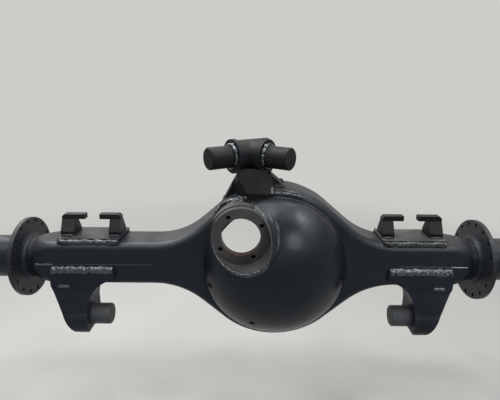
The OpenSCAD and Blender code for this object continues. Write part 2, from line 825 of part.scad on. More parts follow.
// Bead along the top of the front wall, and a short one in its slot
module bracket_welds(side) {
    bracket_reveal = 1;
    plug_len = 36;
    plug_h = 13;
    plug_t = 2;
    plug_x = bracket_end + 10;
    plug_z = -beam_half;
    color(black) mirrored(side) {
        translate([bracket_x - wing_in, 0, 0]) along_x()
            linear_extrude(bracket_barrel_len + wing_in + wing_out)
                polygon([[-beam_half, -bracket_top], [-beam_half, plate_weld - bracket_top],
                    [front_face + bracket_reveal, -bracket_top]]);
        along_y(front_face - plug_t) linear_extrude(plug_t) translate([plug_x, plug_z]) {
            square([plug_len - plug_h, plug_h], center = true);
            for (end = [-1, 1]) translate([end * (plug_len - plug_h) / 2, 0]) circle(d = plug_h);
        }
    }
}

upper_half();
lower_half();
seam_welds();
dome_cover();
dome_weld_ring();
output_boss();
boss_weld();
carrier_ring();
spindle(-1);  // left_spindle
spindle(1);  // right_spindle
brake_flange(-1);  // left_brake_flange
brake_flange(1);  // right_brake_flange
flange_welds(-1);  // left_flange_welds
flange_welds(1);  // right_flange_welds
rod_tower();
tower_welds();
tower_pin(-1);  // left_tower_pin
tower_pin(1);  // right_tower_pin
saddle_pad(-1);  // left_saddle_pad
saddle_pad(1);  // right_saddle_pad
outer_hook(-1);  // left_outer_hook
inner_hook(-1);  // left_inner_hook
outer_hook(1);  // right_outer_hook
inner_hook(1);  // right_inner_hook
saddle_welds(-1);  // left_saddle_welds
saddle_welds(1);  // right_saddle_welds
rod_bracket(-1);  // left_rod_bracket
rod_bracket(1);  // right_rod_bracket
lower_rod_pin(-1);  // left_rod_pin
lower_rod_pin(1);  // right_rod_pin
bracket_welds(-1);  // left_bracket_welds
bracket_welds(1);  // right_bracket_welds
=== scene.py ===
"""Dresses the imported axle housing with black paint, rippled weld beads and threads, in a plain studio."""

import json
import math

import bmesh
import bpy
from bpy.props import FloatProperty, FloatVectorProperty, IntProperty, PointerProperty
from mathutils import Matrix, Vector, noise


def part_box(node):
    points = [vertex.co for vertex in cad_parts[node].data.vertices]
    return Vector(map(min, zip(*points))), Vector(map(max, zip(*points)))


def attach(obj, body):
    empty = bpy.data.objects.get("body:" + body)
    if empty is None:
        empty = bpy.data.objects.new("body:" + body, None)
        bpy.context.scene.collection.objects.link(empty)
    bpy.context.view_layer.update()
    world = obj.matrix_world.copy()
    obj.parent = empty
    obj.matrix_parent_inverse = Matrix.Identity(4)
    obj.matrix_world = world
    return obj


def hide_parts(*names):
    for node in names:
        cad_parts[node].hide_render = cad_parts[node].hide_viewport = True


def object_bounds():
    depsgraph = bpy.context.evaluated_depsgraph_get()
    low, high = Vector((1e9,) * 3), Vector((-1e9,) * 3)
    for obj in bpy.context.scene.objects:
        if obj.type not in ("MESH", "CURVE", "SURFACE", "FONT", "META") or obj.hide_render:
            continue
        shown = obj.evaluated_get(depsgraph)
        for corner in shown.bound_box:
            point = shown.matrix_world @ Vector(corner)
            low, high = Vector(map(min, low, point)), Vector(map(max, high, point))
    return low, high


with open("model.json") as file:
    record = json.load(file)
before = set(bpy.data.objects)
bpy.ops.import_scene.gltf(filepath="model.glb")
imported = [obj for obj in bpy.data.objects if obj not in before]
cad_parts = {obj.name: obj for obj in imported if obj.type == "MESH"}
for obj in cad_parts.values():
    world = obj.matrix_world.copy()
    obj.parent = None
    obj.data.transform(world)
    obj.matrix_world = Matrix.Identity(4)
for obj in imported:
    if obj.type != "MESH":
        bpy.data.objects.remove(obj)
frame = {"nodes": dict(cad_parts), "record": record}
CAD_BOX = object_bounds()

bl_info = {
    "name": "Axle Housing",
    "version": (1, 0, 0),
    "blender": (4, 5, 0),
    "location": "View3D > Sidebar > Housing",
    "description": "Paints a welded truck axle housing, lays its weld beads and cuts its threads",
    "category": "Object",
}

PAINT_SLOT = "black_paint"
WELD_SLOT = "painted_weld"
SIDES = (("left", -1), ("right", 1))
X_AXIS = Vector((1, 0, 0))
Y_AXIS = Vector((0, 1, 0))
Z_AXIS = Vector((0, 0, 1))


def node_centre(node):
    """Middle of a node's box."""
    low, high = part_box(node)
    return (low + high) / 2


def node_size(node):
    """Size of a node's box."""
    low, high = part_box(node)
    return high - low


def find_mount(name):
    """Place, axis and sizes of one of the record's mounts."""
    mount = next(found for found in frame["record"]["mounts"] if found["name"] == name)
    return Vector(mount["pos_m"]), Vector(mount["axis"]), mount["dims"]


def mount_named(name):
    """Place, axis, radius and length of a round mount, in metres."""
    place, axis, dims = find_mount(name)
    return place, axis, dims["r_mm"] / 1000, dims["length_mm"] / 1000


def spoke(angle):
    """The way out from the Y axis at an angle from X towards Z."""
    return Vector((math.cos(angle), 0, math.sin(angle)))


def bolt_places(name, first):
    """Place, axis and radius of each hole of a bolt pattern whose first hole lies at an angle from X."""
    middle, axis, dims = find_mount(name)
    for i in range(dims["count"]):
        angle = math.radians(first) + 2 * math.pi * i / dims["count"]
        yield middle + spoke(angle) * dims["pcd_mm"] / 2000, axis, dims["hole_r_mm"] / 1000


# Sizes that the beads, skins and threads share with the solids, in metres

BEAM_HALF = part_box("upper_half")[1].y
BOWL_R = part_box("upper_half")[1].z
BOWL_X = node_centre("dome_cover").x
DOME_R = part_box("dome_cover")[1].z
DOME_TOP = -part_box("dome_cover")[0].y - BEAM_HALF
NECK_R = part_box("left_spindle")[1].z
PIN_R = node_size("left_rod_pin").z / 2
# Radius of the beam's rounded corners and of the bowl's rims
CORNER = 0.022
# Radius of the beam's rise to the bowl, and how far from the middle each rise starts
RISE_R = 0.210
RISE_X = {"left": 0.2889, "right": 0.4289}
# How far the seams run out along the necks
NECK_SEAM = 0.056
# Where the run from square beam to round neck begins and ends, back from the spindle's joint
NECK_RUN = (0.072, 0.008)
# Half width of the neck's skin by the share of that run: out of the beam, along it, and into the neck
NECK_HALF = ((-0.03, 0.0648), (0.03, 0.0652), (0.94, 0.0652), (1.12, 0.0632))
# Rows along that skin, steps round each of its corners, and its thickness
NECK_ROWS, NECK_CORNER_STEPS, NECK_SKIN = 46, 14, 0.001
# Depth of the tower's column on each side of the middle plane
COLUMN_DEPTH = 0.030
# Leg of the beads at the tower's foot
TOWER_LEG = 0.010
# Top and foot of the rib's sides and foot of the column's flanks beside them, in X and Z
RIB_BLENDS = (((-0.040, 0.266), (-0.010, 0.217), (-0.083, 0.212)),
              ((0.056, 0.266), (0.0545, 0.217), (0.096, 0.222)))
# Depth of the rib's front, by falling height
RIB_FRONT = ((-0.284, 0.044), (-0.222, 0.074))
# Passes of bead on the bowl's rim beside the tower: degrees round the bowl, lean and width
RIM_PASSES = ((140, 106, 64, 0.011), (134, 105, 40, 0.011), (128, 106, 14, 0.011), (92, 70, 60, 0.011),
              (86, 74, 34, 0.011))
# Runs of weld at the root of a tower pin: degrees from its top towards the dome side, and leg
TOWER_PIN_RUNS = ((-70, 12, 0.0065), (8, 74, 0.0095), (66, 128, 0.0075), (150, 250, 0.006))
# Leg of the ring at the root of a rod pin, and the chamfer at the pins' ends
ROD_PIN_LEG, PIN_CHAMFER = 0.0035, 0.003
# Share of the dome bead's full leg, by degrees round the dome from its left side
FULL_TOP = ((0, 0.55), (200, 0.55), (225, 1), (285, 1), (300, 0.7), (360, 0.55))
# Inner and outer radius of the boss's bead and of the flare beside it, on the dome, with their ripples
# and crown, by degrees round the boss
BOSS_BEAD = {
    "inner": ((-150, 0.0835), (-112, 0.0815), (-20, 0.0815), (8, 0.0835), (60, 0.0850), (210, 0.0835)),
    "outer": ((-150, 0.0900), (-112, 0.0930), (-75, 0.0955), (-45, 0.0960), (-20, 0.0905), (8, 0.0865),
              (40, 0.0890), (70, 0.0935), (150, 0.0935), (210, 0.0900)),
    "ripples": ((-150, 1.2), (-45, 1.2), (-20, 0.6), (8, 0.1), (85, 0.1), (115, 0.8), (210, 1.2)),
    "crown": ((-150, 0.0026), (-112, 0.0036), (-45, 0.0036), (-20, 0.0022), (8, 0.0008), (50, 0.0008),
              (90, 0.0024), (210, 0.0026))}
BOSS_FLARE = {
    "inner": ((-52, 0.0830), (-10, 0.0825), (12, 0.0835), (30, 0.0850), (52, 0.0870)),
    "outer": ((-52, 0.0950), (-25, 0.1010), (-8, 0.1070), (8, 0.1100), (30, 0.1100), (52, 0.1040)),
    "ripples": ((-52, 0), (52, 0)),
    "crown": ((-52, -0.0010), (-25, 0.0030), (8, 0.0040), (30, 0.0030), (52, -0.0012))}
# Thickness of a bracket's front plate, and its plug weld's place along the beam, half length and height
BRACKET_FRONT = 0.012
PLUG_X, PLUG_REACH, PLUG_HALF = 0.555, 0.018, 0.0065
# Thread of a spindle: its start back from the end, radius and length, and the keyway's half angle
SPINDLE_THREAD = (0.0305, 0.0333, 0.0283, 0.145)
# Angle of the first tapped hole of a bolt pattern, in degrees, and the depth of its thread
TAPPED = {"output_bolts": (31, 0.016), "carrier_bolts": (11.25, 0.018)}

# Width of the softened edges of the solids
SOFT_EDGES = {"outer_hook": 0.0022, "inner_hook": 0.0022, "saddle_pad": 0.0015, "rod_bracket": 0.0018,
              "brake_flange": 0.0009}
TOWER_SOFT_EDGE = 0.0018
# Scales of the paint film's blotches, waves, peel and specks, of rust and of lathe lines, per metre
BLOTCHES, WAVES, PEEL, SPECKS, RUST, LATHE_LINES = 11, 34, 330, 1300, 120, 420
# How fast a bead's lumps, wandering edges and roughness change along it, per metre
LUMP_RATE, WANDER_RATE, ROUGH_RATE = 22, 70, 175
# How far ripples bow at the middle of a bead, the share of a ripple that rises, and how far it falls
RIPPLE_BOW, RIPPLE_RISE, RIPPLE_FALL = 0.75, 0.2, 0.75
# Length over which an open bead swells from its end, and how deep a bead's root is sunk
BEAD_END, BEAD_SUNK = 0.006, 0.0006
# Place, target, width and depth in metres, and power in watts
LAMPS = {
    "left_ceiling_lamp": ((-1.42, -0.75, 1.9), (-0.4, 0, 0), (0.55, 0.65), 15),
    "middle_ceiling_lamp": ((-0.11, -0.51, 1.9), (0, 0, 0.1), (0.24, 0.24), 8),
    "right_ceiling_lamp": ((1.44, -0.58, 1.9), (0.3, 0, 0), (0.35, 0.75), 17),
    "left_back_lamp": ((-1.30, 1.10, 1.9), (-0.3, 0, 0.1), (1.2, 0.9), 44),
    "right_window_lamp": ((1.35, -2.10, 1.55), (0.1, 0, 0.1), (0.8, 0.8), 17),
    "overhead_lamp": ((0, 0.35, 2.2), (0, 0, 0), (2.4, 1.0), 30)}


def colour_setting(name, description, colour):
    """An opaque colour that a user may change."""
    return FloatVectorProperty(
        name=name, description=description, subtype="COLOR", size=4, default=(*colour, 1), min=0, max=1)


def share_setting(name, description, share, most=1):
    """A share from 0 up that a user may change."""
    return FloatProperty(
        name=name, description=description, subtype="FACTOR", default=share, min=0, max=most)


def length_setting(name, description, length, least, most):
    """A length that a user may change."""
    return FloatProperty(
        name=name, description=description, unit="LENGTH", default=length, min=least, max=most)


class PaintFinish(bpy.types.PropertyGroup):
    """Colours, dust with painted sheen on upper faces, and gloss of the paint"""
    colour: colour_setting("Paint colour", "Colour of the black paint", (0.0062, 0.0086, 0.0140))
    cast_colour: colour_setting(
        "Cast paint colour", "Colour of the paint on castings", (0.0078, 0.0084, 0.0100))
    boss_colour: colour_setting(
        "Boss paint colour", "Colour of the thin paint on the output boss", (0.0480, 0.0450, 0.0462))
    weld_colour: colour_setting(
        "Weld paint colour", "Colour of the paint over the weld beads", (0.0120, 0.0135, 0.0165))
    bright_colour: colour_setting(
        "Bright weld colour", "Colour of the glossy paint over the coarse beads", (0.014, 0.0155, 0.018))
    # The colour that upper faces are lightened towards: partly dust, partly painted sheen where light falls
    # on them.
    dust_and_sheen_colour: colour_setting(
        "Dust colour", "Colour of the dust that settles on upper faces", (0.105, 0.100, 0.092))
    # Painted shade: the pins' end faces are made darker than their sides, to stand for the shade on them.
    shaded_end_colour: colour_setting("End colour", "Colour of the pins' end faces", (0.0045, 0.0045, 0.0045))
    pin_colour: colour_setting("Pin colour", "Colour of the tower's pins", (0.0125, 0.0132, 0.0145))
    # Partly the pins' own tone, partly painted sheen: lighter than the paint to stand in for the highlights
    # on the rod pins.
    rod_pin_colour_and_sheen: colour_setting("Rod pin colour", "Colour of the brackets' pins", (0.066, 0.071, 0.078))
    flange_colour: colour_setting("Flange colour", "Colour of the brake flanges", (0.0140, 0.0158, 0.0185))
    dome_colour: colour_setting("Dome colour", "Colour of the dome", (0.0044, 0.0066, 0.0112))
    bracket_colour: colour_setting("Bracket colour", "Colour of the rod brackets", (0.0125, 0.0155, 0.0220))
    rust_colour: colour_setting(
        "Rust colour", "Colour of the rust at the bore's lower edge", (0.050, 0.023, 0.014))
    # How far upper faces are lightened: partly dust, partly painted sheen.
    dust_and_sheen_amount: share_setting("Dust", "How much dust lies on upper faces", 0.32)
    gloss: share_setting("Gloss", "Strength of the paint's reflections", 0.27)
    gloss_tint: colour_setting("Gloss tint", "Tint of the paint's reflections", (0.84, 0.94, 1.0))
    weld_gloss: share_setting("Weld gloss", "Strength of the reflections on the weld beads", 0.95)


class WeldSizes(bpy.types.PropertyGroup):
    """Ripples and fineness of the weld beads"""
    pitch: length_setting("Ripple pitch", "Length of one ripple along a bead", 0.0052, 0.002, 0.012)
    ripple: length_setting("Ripple height", "Height of one ripple on a bead", 0.0013, 0, 0.002)
    wander: share_setting(
        "Wander", "How far the edges of a bead wander, as a share of its leg", 0.22, most=0.5)
    steps: IntProperty(
        name="Steps", description="Rings of points in one ripple", default=6, min=3, max=10)
    across: IntProperty(
        name="Points across", description="Points across a bead", default=9, min=5, max=15)


class ThreadSizes(bpy.types.PropertyGroup):
    """Pitch and depth of the threads"""
    spindle_pitch: length_setting(
        "Spindle pitch", "Pitch of the thread on a spindle's end", 0.0022, 0.001, 0.004)
    hole_pitch: length_setting(
        "Hole pitch", "Pitch of the threads in the bolt and plug holes", 0.0018, 0.001, 0.003)
    depth: length_setting("Depth", "Depth of a thread", 0.0009, 0.0004, 0.002)


class StudioSizes(bpy.types.PropertyGroup):
    """Floor, backdrop and camera"""
    floor_colour: colour_setting("Floor colour", "Colour of the floor", (0.45, 0.445, 0.425))
    backdrop_colour: colour_setting(
        "Backdrop colour", "Colour of the backdrop and of the floor far away", (0.62, 0.605, 0.58))
    floor_drop: length_setting(
        "Floor drop", "Height of the housing's lowest point above the floor", 0.32, 0, 1)
    floor_size: length_setting("Floor size", "Width of the floor", 30, 4, 60)
    eye: FloatVectorProperty(
        name="Camera place", description="Place of the camera", subtype="TRANSLATION", size=3,
        default=(0.007, -1.1703, 0.521))
    tilt: FloatProperty(
        name="Tilt", description="How far the camera looks down", subtype="ANGLE",
        default=math.radians(16.08))
    turn: FloatProperty(
        name="Turn", description="How far the camera turns to the left", subtype="ANGLE",
        default=math.radians(0.53))
    roll: FloatProperty(
        name="Roll", description="How far the camera leans", subtype="ANGLE", default=math.radians(0.22))
    lens: FloatProperty(
        name="Lens", description="Focal length of the camera in millimetres",
        default=29.59, min=10, max=200)


# Shader groups that several finishes share

def new_group(name, inputs, outputs):
    """An empty shader group with named sockets, and its input and output nodes."""
    group = bpy.data.node_groups.new(name, "ShaderNodeTree")
    for label, kind, value in inputs:
        group.interface.new_socket(label, in_out="INPUT", socket_type=kind).default_value = value
    for label, kind in outputs:
        group.interface.new_socket(label, in_out="OUTPUT", socket_type=kind)
    return group, group.nodes.new("NodeGroupInput"), group.nodes.new("NodeGroupOutput")


def add_node(tree, kind, **values):
    """A new node with some of its settings."""
    node = tree.nodes.new(kind)
    for key, value in values.items():
        setattr(node, key, value)
    return node


def noise_value(tree, coords, scale, detail, roughness=0.5):
    """Soft noise over the object's own space."""
    node = add_node(tree, "ShaderNodeTexNoise")
    node.inputs["Scale"].default_value = scale
    node.inputs["Detail"].default_value = detail
    node.inputs["Roughness"].default_value = roughness
    tree.links.new(coords.outputs["Object"], node.inputs["Vector"])
    return node.outputs["Fac"]


def range_node(tree, source, low, high, to_low, to_high):
    """A value brought smoothly from one range to another."""
    node = add_node(tree, "ShaderNodeMapRange", interpolation_type="SMOOTHSTEP")
    for label, value in (("From Min", low), ("From Max", high), ("To Min", to_low), ("To Max", to_high)):
        node.inputs[label].default_value = value
    tree.links.new(source, node.inputs["Value"])
    return node.outputs["Result"]


def feed(tree, socket, value):
    """Links a socket into another, or sets a plain value there."""
    if isinstance(value, bpy.types.NodeSocket):
        tree.links.new(value, socket)
    else:
        socket.default_value = value


def math_node(tree, operation, first, second):
    """Two values, linked or plain, into one."""
    node = add_node(tree, "ShaderNodeMath", operation=operation)
    for socket, value in zip(node.inputs, (first, second)):
        feed(tree, socket, value)
    return node.outputs[0]


def vector_node(tree, operation, source, value=None):
    """A vector from a link, with another, plain one where the operation takes two."""
    node = add_node(tree, "ShaderNodeVectorMath", operation=operation)
    tree.links.new(source, node.inputs[0])
    if value is not None:
        node.inputs[1].default_value = value
    return node


def mix_colours(tree, factor, first, second):
    """Two colours, linked or plain, mixed by a mask."""
    node = add_node(tree, "ShaderNodeMix", data_type="RGBA")
    tree.links.new(factor, node.inputs[0])
    feed(tree, node.inputs[6], first)
    feed(tree, node.inputs[7], second)
    return node.outputs[2]


def scale_colour(tree, colour, factor):
    """A colour made darker or lighter by a value."""
    node = vector_node(tree, "SCALE", colour)
    tree.links.new(factor, node.inputs["Scale"])
    return node.outputs[0]


def show_mixed(tree, output, factor, first, second):
    """Two shaders, mixed by a mask, on the tree's surface."""
    mixed = add_node(tree, "ShaderNodeMixShader")
    for socket, source in zip(mixed.inputs, (factor, first.outputs[0], second.outputs[0])):
        tree.links.new(source, socket)
    tree.links.new(mixed.outputs[0], tree.nodes[output].inputs["Surface"])


def seen_rays(tree):
    """Rays that show a surface to the camera, straight, in gloss or through glass."""
    path = add_node(tree, "ShaderNodeLightPath")
    gloss = math_node(tree, "MAXIMUM", path.outputs["Is Camera Ray"], path.outputs["Is Glossy Ray"])
    return math_node(tree, "MAXIMUM", gloss, path.outputs["Is Transmission Ray"])


def paint_group():
    """Brushed-on black paint: blotches, dust and painted sheen on upper faces, and the peel of the dried
    film.
    """
    group, given, out = new_group(
        "Paint film",
        [("Colour", "NodeSocketColor", (0.01, 0.01, 0.01, 1)),
         ("Dust Colour", "NodeSocketColor", (0.1, 0.1, 0.1, 1)),
         ("Dust", "NodeSocketFloat", 0.3),
         ("Roughness", "NodeSocketFloat", 0.4),
         ("Grain", "NodeSocketFloat", 0.3),
         ("Waves", "NodeSocketFloat", 0.3)],
        [("Colour", "NodeSocketColor"), ("Roughness", "NodeSocketFloat"), ("Height", "NodeSocketFloat")])
    coords = add_node(group, "ShaderNodeTexCoord")
    blotch = noise_value(group, coords, BLOTCHES, 5, 0.6)
    peel = noise_value(group, coords, PEEL, 3, 0.55)
    waves = noise_value(group, coords, WAVES, 2)
    specks = noise_value(group, coords, SPECKS, 1)
    normal = add_node(group, "ShaderNodeNewGeometry").outputs["Normal"]
    split = add_node(group, "ShaderNodeSeparateXYZ")
    group.links.new(normal, split.inputs[0])
    # Upper faces are lightened towards the dust colour: partly dust, partly painted sheen where light falls
    # on top faces.
    upper = range_node(group, split.outputs["Z"], 0.15, 0.95, 0, 1)
    patchy = range_node(group, blotch, 0.32, 0.68, 0.35, 1)
    top_dust_and_sheen = math_node(group, "MULTIPLY", upper, patchy)
    top_dust_and_sheen = math_node(group, "MULTIPLY", top_dust_and_sheen, given.outputs["Dust"])
    fleck = range_node(group, specks, 0.70, 0.80, 0, 0.35)
    fleck = math_node(group, "MULTIPLY", fleck, given.outputs["Dust"])
    dust_and_sheen = math_node(group, "MAXIMUM", top_dust_and_sheen, fleck)
    tone = scale_colour(group, given.outputs["Colour"], range_node(group, blotch, 0.3, 0.7, 0.78, 1.22))
    group.links.new(mix_colours(group, dust_and_sheen, tone, given.outputs["Dust Colour"]), out.inputs["Colour"])
    dulled = math_node(group, "MULTIPLY", dust_and_sheen, 0.3)
    uneven = range_node(group, blotch, 0.3, 0.7, -0.05, 0.06)
    uneven = math_node(group, "ADD", given.outputs["Roughness"], uneven)
    group.links.new(math_node(group, "ADD", uneven, dulled), out.inputs["Roughness"])
    fine = math_node(group, "MULTIPLY", peel, given.outputs["Grain"])
    broad = math_node(group, "MULTIPLY", waves, given.outputs["Waves"])
    group.links.new(math_node(group, "ADD", fine, broad), out.inputs["Height"])


def paint_material(name, finish, roughness, grain, waves, colour=None, gloss=None, dust_and_sheen_share=1.0,
                   rust=None, turned=False, end=None):
    """A painted finish: film group into the shader, with rust, turning lines or painted shade on an end
    face where a piece has them."""
    material = bpy.data.materials.new(name)
    material.use_nodes = True
    tree = material.node_tree
    shader = tree.nodes["Principled BSDF"]
    shader.inputs["Specular IOR Level"].default_value = gloss or finish.gloss
    shader.inputs["Specular Tint"].default_value = finish.gloss_tint
    film = add_node(tree, "ShaderNodeGroup", node_tree=bpy.data.node_groups["Paint film"])
    film.inputs["Colour"].default_value = colour or finish.colour
    film.inputs["Dust Colour"].default_value = finish.dust_and_sheen_colour
    film.inputs["Dust"].default_value = finish.dust_and_sheen_amount * dust_and_sheen_share
    film.inputs["Roughness"].default_value = roughness
    film.inputs["Grain"].default_value = grain
    film.inputs["Waves"].default_value = waves
    height = film.outputs["Height"]
    shown = film.outputs["Colour"]
    coords = add_node(tree, "ShaderNodeTexCoord")
    if rust:
        shown = mix_colours(tree, rust_mask(tree, coords, *rust), shown, finish.rust_colour)
    # Painted shade: darkens the pin's end face, as the shade that falls on it.
    if end:
        shown = mix_colours(tree, shaded_end_mask(tree, coords, end), shown, finish.shaded_end_colour)
    if turned:
        height = math_node(tree, "ADD", height, turning_lines(tree, coords))
    bump = add_node(tree, "ShaderNodeBump")
    bump.inputs["Strength"].default_value = 0.5
    bump.inputs["Distance"].default_value = 0.0012
    tree.links.new(height, bump.inputs["Height"])
    tree.links.new(shown, shader.inputs["Base Color"])
    tree.links.new(film.outputs["Roughness"], shader.inputs["Roughness"])
    tree.links.new(bump.outputs["Normal"], shader.inputs["Normal"])
    return material


def rust_mask(tree, coords, centre, radius):
    """Patchy rust in a thin ring along the lower edge of a bore."""
    offset = vector_node(tree, "SUBTRACT", coords.outputs["Object"], centre)
    flat = vector_node(tree, "MULTIPLY", offset.outputs[0], (1, 0, 1))
    away = vector_node(tree, "LENGTH", flat.outputs[0])
    split = add_node(tree, "ShaderNodeSeparateXYZ")
    tree.links.new(offset.outputs[0], split.inputs[0])
    near = range_node(tree, away.outputs["Value"], radius + 0.001, radius + 0.007, 1, 0)
    low = range_node(tree, split.outputs["Z"], -0.95 * radius, -0.25 * radius, 1, 0)
    patchy = range_node(tree, noise_value(tree, coords, RUST, 4, 0.65), 0.38, 0.58, 0.15, 1)
    return math_node(tree, "MULTIPLY", math_node(tree, "MULTIPLY", near, low), patchy)


def shaded_end_mask(tree, coords, axis):
    """The flat face that looks along an axis, which gets painted shade."""
    facing = vector_node(tree, "DOT_PRODUCT", coords.outputs["Normal"], axis)
    return range_node(tree, facing.outputs["Value"], 0.90, 0.97, 0, 1)


def turning_lines(tree, coords):
    """Fine lathe lines round the X axis."""
    lines = add_node(tree, "ShaderNodeTexWave", bands_direction="X")
    lines.inputs["Scale"].default_value = LATHE_LINES
    lines.inputs["Distortion"].default_value = 0.4
    tree.links.new(coords.outputs["Object"], lines.inputs["Vector"])
    return math_node(tree, "MULTIPLY", lines.outputs["Fac"], 0.12)


# Weld beads

def bead_rows(section, length, sizes, seed, closed, crown, shape, lumps):
    """Rings of points along a bead. Its section gives root, two toes and the way out at 0 to 1, and its
    shape the share of the crown and of the ripples there. Lumps are the height of its roughness."""
    count = max(8, int(length / sizes.pitch * sizes.steps))
    rows = []
    for i in range(count if closed else count + 1):
        t = i / count
        run = t * length
        root, toe_a, toe_b, out = section(t)
        high, rippled = shape(t)
        swell = 1.0
        if not closed:
            swell = min(1.0, math.sqrt((min(run, length - run) + 0.0004) / BEAD_END))
        lump = noise.noise(Vector((run * LUMP_RATE, seed, 3.1)))
        loose = sizes.wander * min(1, rippled)
        wander_a = swell * (1 + loose * noise.noise(Vector((run * WANDER_RATE, seed, 0))))
        wander_b = swell * (1 + loose * noise.noise(Vector((run * WANDER_RATE, seed, 9))))
        row = [root - out * BEAD_SUNK]
        for k in range(sizes.across):
            v = k / (sizes.across - 1)
            arch = math.sin(math.pi * v)
            steep = math.sqrt(max(arch, 0))
            phase = run / sizes.pitch + RIPPLE_BOW * arch + 0.3 * lump
            turn = phase - math.floor(phase)
            scale = min(1, turn / RIPPLE_RISE) * (1 - RIPPLE_FALL * turn)
            rise = crown * high * arch * (1 + 0.35 * lump)
            rise += sizes.ripple * rippled * scale * steep
            rough = noise.noise(Vector((run * ROUGH_RATE, v * 3.8, seed + 5))) * steep
            rise += lumps * min(1, rippled) * rough
            row.append(root + toe_a * wander_a * (1 - v) + toe_b * wander_b * v + out * rise * swell)
        rows.append(row)
    return rows


def skin_rows(bm, rows, closed):
    """Joins rings of points into a skin, with end faces where the run is open."""
    rings = [[bm.verts.new(point) for point in row] for row in rows]
    pairs = list(zip(rings, rings[1:]))
    if closed:
        pairs.append((rings[-1], rings[0]))
    for ring, following in pairs:
        for k in range(len(ring)):
            j = (k + 1) % len(ring)
            bm.faces.new((ring[k], ring[j], following[j], following[k]))
    if not closed:
        bm.faces.new(rings[0])
        bm.faces.new(reversed(rings[-1]))


def even(t):
    """The same full crown and ripples all along a bead."""
    return 1, 1


def heavy_ends(t):
    """A crown that is higher at both ends of a bead."""
    return between(abs(2 * t - 1), ((0, 1), (0.6, 1), (0.72, 1.7), (1, 1.7))), 1


def lay_bead(bm, section, sizes, seed, closed=False, crown=0.0012, shape=even, lumps=0.0):
    """Lays one bead along a section, in rings that follow its real length."""
    marks = [section(i / 48)[0] for i in range(49)]
    length = sum((b - a).length for a, b in zip(marks, marks[1:]))
    skin_rows(bm, bead_rows(section, length, sizes, seed, closed, crown, shape, lumps), closed)


def between(value, marks):
    """Value read off a short list of (place, value) marks, straight between them."""
    for (low, at_low), (high, at_high) in zip(marks, marks[1:]):
        if value <= high:
            return at_low + (at_high - at_low) * max(0, (value - low) / (high - low))
    return marks[-1][1]


def straight_section(start, end, toe_a, toe_b, out):
    """A straight run with the same toes all along."""
    way = out.normalized()
    return lambda t: (start.lerp(end, t), toe_a, toe_b, way)


def ring_section(centre, axis, radius, along, outwards):
    """A fillet round a shaft: one toe along the axis, one out along a plate."""
    first = axis.orthogonal().normalized()
    second = axis.cross(first).normalized()

    def section(t):
        angle = 2 * math.pi * t
        radial = first * math.cos(angle) + second * math.sin(angle)
        out = (axis * math.copysign(1, along) + radial).normalized()
        return centre + radial * radius, axis * along, radial * outwards, out
    return section


def finish_piece(name, bm, material, slot, *replaced):
    """Turns the built mesh into a piece that rides on the housing and stands for the named nodes."""
    bmesh.ops.recalc_face_normals(bm, faces=bm.faces)
    mesh = bpy.data.meshes.new(name)
    bm.to_mesh(mesh)
    bm.free()
    mesh.shade_smooth()
    piece = bpy.data.objects.new(name, mesh)
    bpy.context.scene.collection.objects.link(piece)
    mesh.materials.append(material)
    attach(piece, "root")
    if replaced:
        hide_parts(*replaced)


def weld_piece(name, bm, *replaced, finish="weld_paint"):
    """A piece with one of the finishes."""
    finish_piece(name, bm, bpy.data.materials[finish], WELD_SLOT, *replaced)


def bowl_wall_height(x, z):
    """Height of the dome, the flat wall or the rounded rim above the bowl's front wall plane."""
    crown_r, knuckle_r, skirt = 0.250, 0.045, 0.004
    knuckle_x = DOME_R - knuckle_r
    lean = math.asin(knuckle_x / (crown_r - knuckle_r))
    reach = math.hypot(x - BOWL_X, z)
    if reach < crown_r * math.sin(lean):
        return math.sqrt(crown_r ** 2 - reach ** 2) - crown_r + DOME_TOP
    if reach < DOME_R:
        return skirt + math.sqrt(knuckle_r ** 2 - (reach - knuckle_x) ** 2)
    past = min(CORNER, max(0, reach - BOWL_R + CORNER))
    return math.sqrt(CORNER ** 2 - past ** 2) - CORNER


